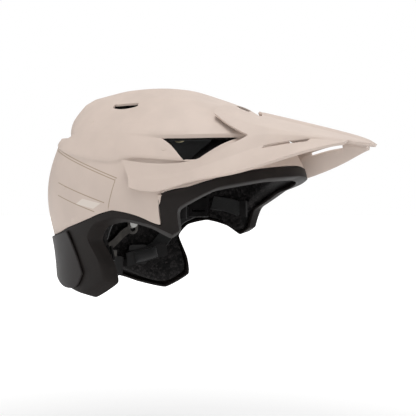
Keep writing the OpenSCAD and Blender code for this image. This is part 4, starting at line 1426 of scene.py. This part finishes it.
class Dressing(Tree):
    """A material's tree, with its shader and what all finishes start from."""

    def __init__(self, name: str, colour: Colour, effects: Effects) -> None:
        """Makes an empty material with a Principled shader."""
        self.material = bpy.data.materials.new(name)
        self.material.use_nodes = True
        super().__init__(self.material.node_tree)
        self.colour = colour
        self.shader = self.tree.nodes["Principled BSDF"].inputs
        self.effects = effects
        self.spot = self.add("TexCoord").outputs["Object"]

    def place(self, group: bpy.types.NodeTree, **inputs: object) -> bpy.types.bpy_prop_collection:
        """Places a shared group and gives its outputs."""
        node = self.tree.nodes.new("ShaderNodeGroup")
        node.node_tree = group
        for key, value in inputs.items():
            self.feed(node.inputs[key], value)
        return node.outputs

    def grain(self, size: float, drift: float) -> bpy.types.bpy_prop_collection:
        """Places the grain, with its size and the size of its slow tone in millimetres."""
        return self.place(self.effects.grain, Vector=self.spot, Size=size, Drift=drift)

    def worn(self, amount: float) -> bpy.types.bpy_prop_collection:
        """Places the handling marks."""
        geometry = self.add("NewGeometry").outputs
        return self.place(self.effects.wear, Vector=self.spot, Normal=geometry["Normal"],
                          Edge=geometry["Pointiness"], Amount=amount)

    def tint(self, factor: object, first: object, second: object) -> bpy.types.NodeSocket:
        """Colour between two, where a number is a strength of the finish's own colour."""
        ends = (opaque(self.colour, v) if isinstance(v, float) else v for v in (first, second))
        return self.blend(factor, *ends)

    def vary(self, base: float, amount: float, tone: bpy.types.NodeSocket) -> bpy.types.NodeSocket:
        """A value that grows by an amount with a tone."""
        return self.plus(base, self.times(tone, amount))

    def finish(self, colour: bpy.types.NodeSocket, rough: bpy.types.NodeSocket, height: bpy.types.NodeSocket,
               depth: float, strength: float, **values: float) -> bpy.types.Material:
        """Links what every finish ends with.

        Args:
            colour: Its colour.
            rough: Its roughness.
            height: Its relief.
            depth: That relief's depth in millimetres.
            strength: How much of it is seen.
            **values: The shader's other inputs by name, with _ for a blank.

        Returns:
            The material.
        """
        bump = self.add("Bump", None, Height=height, Distance=depth * MM, Strength=strength)
        ends = {"Base Color": colour, "Roughness": rough, "Normal": bump.outputs[0]}
        for key, value in {**ends, **values}.items():
            self.feed(self.shader[key.replace("_", " ")], value)
        return self.material


@dataclass(frozen=True)
class ColourBand:
    """A band painted on both sides of the shell. The dark ones are painted shade along the steps of the
    recessed side panel.

    Attributes:
        middle: Height of its middle line at X 0.
        slope: Rise of that line along X.
        half: Half its height.
        start: X of its rear end.
        end: X of its front end.
        lean: How much its ends lean with height.
        colour: Its colour.
    """

    middle: float
    slope: float
    half: float
    start: float
    end: float
    lean: float = 0.0
    colour: Colour = PAINTED_SHADE


@dataclass(frozen=True)
class Paint:
    """Matt paint with a fine spray grain, rubbed edges, light dust and painted bands, whose dark lines are
    painted shade along the side panel's steps.
    """

    name: str
    colour: Colour
    roughness: float = 0.58
    specular: float = 0.35
    wear: float = 0.25
    clear: float = 0.05
    colour_bands: tuple[ColourBand, ...] = ()

    def dress(self, effects: Effects) -> bpy.types.Material:
        """Makes the material."""
        d = Dressing(self.name, self.colour, effects)
        grain, marks = d.grain(0.35, 38.0), d.worn(self.wear)
        colour = d.tint(d.ramp(grain["Tone"], 0.3, 0.7), 0.965, 1.03)
        # Dark bands paint the shade along the recessed side panel's steps; the pale band lightens a patch of
        # the paint.
        for s in self.colour_bands:
            band = d.place(effects.band, Vector=d.spot, Middle=s.middle * MM, Slope=s.slope, Half=s.half * MM,
                           From=s.start * MM, To=s.end * MM, Lean=s.lean, Clear=self.clear)
            colour = d.blend(band["Mask"], colour, opaque(s.colour))
        for mark, strength in (("Dust", 1.12), ("Scuffs", 0.8), ("Edges", 1.22)):
            colour = d.tint(marks[mark], colour, strength)
        rough = d.minus(d.vary(self.roughness - 0.06, 0.12, grain["Tone"]), d.times(marks["Scuffs"], 0.15))
        return d.finish(colour, rough, grain["Height"], 0.02, 0.5, Specular_IOR_Level=self.specular)


@dataclass(frozen=True)
class Moulded:
    """Moulded plastic or rubber with its own grain, dulled by dust and rubbed at its edges."""

    name: str
    colour: Colour
    roughness: float = 0.5
    specular: float = 0.45
    grain: float = 0.6
    depth: float = 0.04
    wear: float = 0.4

    def dress(self, effects: Effects) -> bpy.types.Material:
        """Makes the material."""
        d = Dressing(self.name, self.colour, effects)
        grain, marks = d.grain(self.grain, 24.0), d.worn(self.wear)
        colour = d.tint(d.ramp(grain["Tone"], 0.3, 0.7), 0.85, 1.15)
        for mark, strength in (("Dust", 1.9), ("Scuffs", 2.2), ("Edges", 2.0)):
            colour = d.tint(marks[mark], colour, strength)
        rough = d.vary(self.roughness - 0.08, 0.16, grain["Tone"])
        rough = d.plus(rough, d.times(marks["Dust"], 0.2), clamp=True)
        return d.finish(colour, rough, grain["Height"], self.depth, 0.7, Specular_IOR_Level=self.specular)


@dataclass(frozen=True)
class BeadFoam:
    """Black bead foam, mottled bead by bead."""

    name: str
    colour: Colour

    def dress(self, effects: Effects) -> bpy.types.Material:
        """Makes the material."""
        d = Dressing(self.name, self.colour, effects)
        beads = d.place(effects.beads, Vector=d.spot, Size=3.2)
        colour = d.tint(beads["Seam"], d.tint(beads["Tone"], 0.25, 3.2), 0.4)
        rough = d.vary(0.62, 0.2, beads["Tone"])
        return d.finish(colour, rough, beads["Height"], 0.22, 0.8, Specular_IOR_Level=0.12)


@dataclass(frozen=True)
class Knit:
    """Brushed knitted fabric over a soft pad."""

    name: str
    colour: Colour

    def dress(self, effects: Effects) -> bpy.types.Material:
        """Makes the material."""
        d = Dressing(self.name, self.colour, effects)
        knit = d.place(effects.knit, Vector=d.spot, Loop=0.85)
        tone = d.grain(0.3, 14.0)["Tone"]
        colour = d.tint(d.times(tone, 0.35), d.tint(knit["Tone"], 1.5, 0.6), 1.8)
        rough = d.vary(0.82, 0.12, tone)
        return d.finish(colour, rough, knit["Height"], 0.18, 0.8, Sheen_Weight=0.35, Sheen_Roughness=0.5)


@dataclass(frozen=True)
class Woven:
    """Flat woven webbing."""

    name: str
    colour: Colour

    def dress(self, effects: Effects) -> bpy.types.Material:
        """Makes the material."""
        d = Dressing(self.name, self.colour, effects)
        flat = d.add("UVMap", {"uv_map": "strap"}).outputs[0]
        weave = d.place(effects.weave, Vector=flat, Rib=1.1, Yarn=0.9)
        colour = d.tint(weave["Tone"], 0.6, 2.0)
        rough = d.vary(0.65, 0.25, weave["Tone"])
        return d.finish(colour, rough, weave["Height"], 0.12, 0.8, Sheen_Weight=0.2)


class Finish(Enum):
    """Every finish, by the record's material slot."""

    SHELL = ("shell_paint", Paint("matt_sand_paint", SAND, colour_bands=(
        # The five dark bands are painted shade along the steps of the recessed side panel; the last band is
        # paler.
        ColourBand(14.3, -0.345, 0.55, -110, -7),
        ColourBand(11.7, -0.345, 0.55, -112, -9),
        ColourBand(41.0, 3.0, 1.6, -18, -8.6),
        ColourBand(-13.5, -0.30, 0.55, -92, -22),
        ColourBand(-26.5, -0.30, 0.55, -92, -36),
        ColourBand(-16.5, -0.20, 3.6, -56, -32, lean=-1.4, colour=PALE),
    )))
    BLACK_SHELL = ("black_shell", Moulded(
        "matt_black_shell", (0.0125, 0.0098, 0.0088), roughness=0.56, specular=0.16, grain=0.5, depth=0.02))
    COVER = ("cover_plastic", Moulded(
        "satin_nape_cover", (0.0165, 0.0132, 0.0128), roughness=0.5, specular=0.22, grain=0.7, depth=0.03))
    FOAM = ("foam", BeadFoam("black_bead_foam", (0.009, 0.0082, 0.0082)))
    LINER = ("liner_plastic", Moulded(
        "slip_liner_sheet", (0.012, 0.012, 0.0125), roughness=0.42, specular=0.3, grain=0.9, depth=0.02))
    ELASTOMER = ("elastomer", Moulded(
        "amber_elastomer", (0.42, 0.36, 0.22), roughness=0.5, specular=0.4, grain=0.5, depth=0.02))
    SOFT_BLACK = ("elastomer_black", Moulded(
        "soft_touch_rubber", (0.022, 0.022, 0.022), roughness=0.72, specular=0.3, grain=0.45, depth=0.05))
    PADS = ("pad_fabric", Knit("brushed_pad_knit", (0.010, 0.0098, 0.0102)))
    WEBBING = ("webbing", Woven("flat_black_webbing", (0.009, 0.009, 0.009)))
    BLACK_NYLON = ("black_plastic", Moulded(
        "black_nylon", (0.009, 0.0084, 0.0084), roughness=0.5, specular=0.22, grain=0.6, depth=0.04))
    GREY_NYLON = ("grey_plastic", Moulded(
        "grey_nylon", (0.060, 0.054, 0.048), roughness=0.5, specular=0.45, grain=0.6, depth=0.03))
    SNAPS = ("snap_plastic", Moulded(
        "pale_snap_nylon", (0.55, 0.54, 0.5), roughness=0.4, specular=0.5, grain=0.6, depth=0.02))

    @property
    def slot(self) -> str:
        """The slot's name in the record."""
        return self.value[0]

    @property
    def look(self) -> Paint | Moulded | BeadFoam | Knit | Woven:
        """What it looks like."""
        return self.value[1]


class Wardrobe:
    """Dresses every piece and every CAD node that stays."""

    def __init__(self) -> None:
        """Makes the materials."""
        effects = Effects()
        self.looks = {finish.slot: finish.look.dress(effects) for finish in Finish}

    def dress(self) -> None:
        """Puts each slot's material on its pieces."""
        slots = {part["node"]: part["material_slot"] for part in frame["record"]["subparts"]}
        for node, piece in frame["nodes"].items():
            for holder in piece.material_slots:
                holder.link = "OBJECT"
                holder.material = self.looks[slots[node]]
        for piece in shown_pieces():
            if piece.name in WORN:
                self.put(piece, WORN[piece.name])

    def put(self, piece: bpy.types.Object, slot: str) -> None:
        """Gives a new piece one slot's material, and nothing else."""
        piece.data.materials.clear()
        piece.data.materials.append(self.looks[slot])
        LOG.info("%s wears %s", piece.name, slot)


@dataclass(frozen=True)
class Lamp:
    """A soft square light that points at the helmet.

    Attributes:
        name: Its name.
        place: Where it stands, in metres.
        size: Its side in metres.
        power: Its power in watts.
    """

    name: str
    place: tuple[float, float, float]
    size: float
    power: float

    def light(self) -> None:
        """Adds the light."""
        Bench.clear()
        bpy.ops.object.light_add(type="AREA", location=self.place)
        light = bpy.context.object
        light.name = self.name
        light.data.size = self.size
        light.data.energy = self.power
        light.rotation_euler = (-Vector(self.place)).to_track_quat("-Z", "Y").to_euler()


@dataclass
class Studio:
    """Pale floor, soft light and the camera at the photograph's angle.

    Attributes:
        eye: The camera's place in millimetres.
        look: The way it looks.
        lens: Its focal length on a sensor 36 mm wide.
        floor_z: Height of the floor in millimetres.
        floor_radius: The floor's radius in metres.
        fade: Distances in metres over which the floor turns white.
        glow: Strength of the light from all around.
        lamps: The lights.
    """

    eye: tuple[float, float, float] = (476.6, -824.4, -12)
    look: tuple[float, float, float] = (-0.469, 0.883, 0)
    lens: float = 77.9
    floor_z: float = -300
    floor_radius: float = 30
    fade: tuple[float, float] = (0.35, 1.6)
    glow: float = 0.4
    lamps: tuple[Lamp, ...] = (
        Lamp("key", (0.35, -0.5, 2.0), 1.0, 30),
        Lamp("fill", (-1.7, -1.2, 0.5), 1.2, 4),
        Lamp("rim", (0.1, 1.4, 1.6), 1.2, 9),
    )

    def build(self) -> None:
        """Makes the stage."""
        Bench.clear()
        bpy.ops.object.camera_add(location=Vector(self.eye) * MM)
        camera = bpy.context.object
        camera.rotation_euler = Vector(self.look).to_track_quat("-Z", "Y").to_euler()
        camera.data.lens = self.lens
        camera.data.sensor_width = 36
        camera.data.clip_end = 100
        bpy.context.scene.camera = camera
        bpy.context.scene.view_settings.view_transform = "Standard"
        self.floor()
        for lamp in self.lamps:
            lamp.light()
        self.world()

    def world(self) -> None:
        """Lights from all around, behind a backdrop that the camera sees as white."""
        world = bpy.data.worlds.new("studio")
        bpy.context.scene.world = world
        world.use_nodes = True
        tree = Tree(world.node_tree)
        lit = tree.add("Background", None, Color=WHITE, Strength=self.glow).outputs[0]
        seen = tree.add("Background", None, Color=WHITE).outputs[0]
        camera = tree.add("LightPath").outputs["Is Camera Ray"]
        mix = tree.add("MixShader", None, i0=camera, i1=lit, i2=seen).outputs[0]
        tree.feed(world.node_tree.nodes["World Output"].inputs[0], mix)

    def floor(self) -> None:
        """Makes the pale floor, which fades into the backdrop's white with distance."""
        Bench.clear()
        bpy.ops.mesh.primitive_circle_add(
            vertices=96, radius=self.floor_radius, fill_type="NGON", location=(0, 0, self.floor_z * MM),
        )
        floor = bpy.context.object
        floor.name = "floor"
        floor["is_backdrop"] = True
        paper = bpy.data.materials.new("paper")
        paper.use_nodes = True
        tree = Tree(paper.node_tree)
        spot = tree.add("TexCoord").outputs["Object"]
        away = tree.add("VectorMath", {"operation": "LENGTH"}, i0=spot).outputs["Value"]
        near, far = self.fade
        share = tree.add("MapRange", None, Value=away, From_Min=near, From_Max=far).outputs[0]
        shader = paper.node_tree.nodes["Principled BSDF"].inputs
        tree.feed(shader["Base Color"], (0.93, 0.93, 0.93, 1))
        tree.feed(shader["Roughness"], 0.9)
        tree.feed(shader["Emission Color"], tree.blend(share, (0, 0, 0, 1), WHITE))
        tree.feed(shader["Emission Strength"], 1.0)
        floor.data.materials.append(paper)


def main() -> None:
    """Builds the helmet piece by piece."""
    logging.basicConfig(level=logging.INFO, format="%(name)s: %(message)s")
    Studio().build()
    painted = ride(OuterShell().build(), "helmet", "shell_paint", "outer_shell")
    ride(Plugs().build(painted), "helmet", "shell_paint")
    ride(LowerShell().build(), "helmet", "black_shell", "lower_shell")
    ride(RearCover().build(), "helmet", "cover_plastic", "rear_cover")
    ride(FoamLiner().build(), "helmet", "foam", "foam_liner")
    ride(SlipLiner().build(), "helmet", "liner_plastic", "slip_liner")
    ride(Visor().build(), "visor", "shell_paint", "visor")
    webbing = Webbing()
    for strap in webbing.straps:
        for side in Side:
            ride(webbing.build(strap, side), "helmet", "webbing", f"{strap.nodes}_{side.word}")
    pads = Pads()
    for pad in pads.pads:
        ride(pads.build(pad), "helmet", "pad_fabric", pad.node)
    nape = NapePads()
    for side in Side:
        cushion = ride(nape.build_side(side), f"band_{side.word}", "pad_fabric", f"nape_pad_{side.word}")
    Wardrobe().dress()


if __name__ == "__main__":
    main()
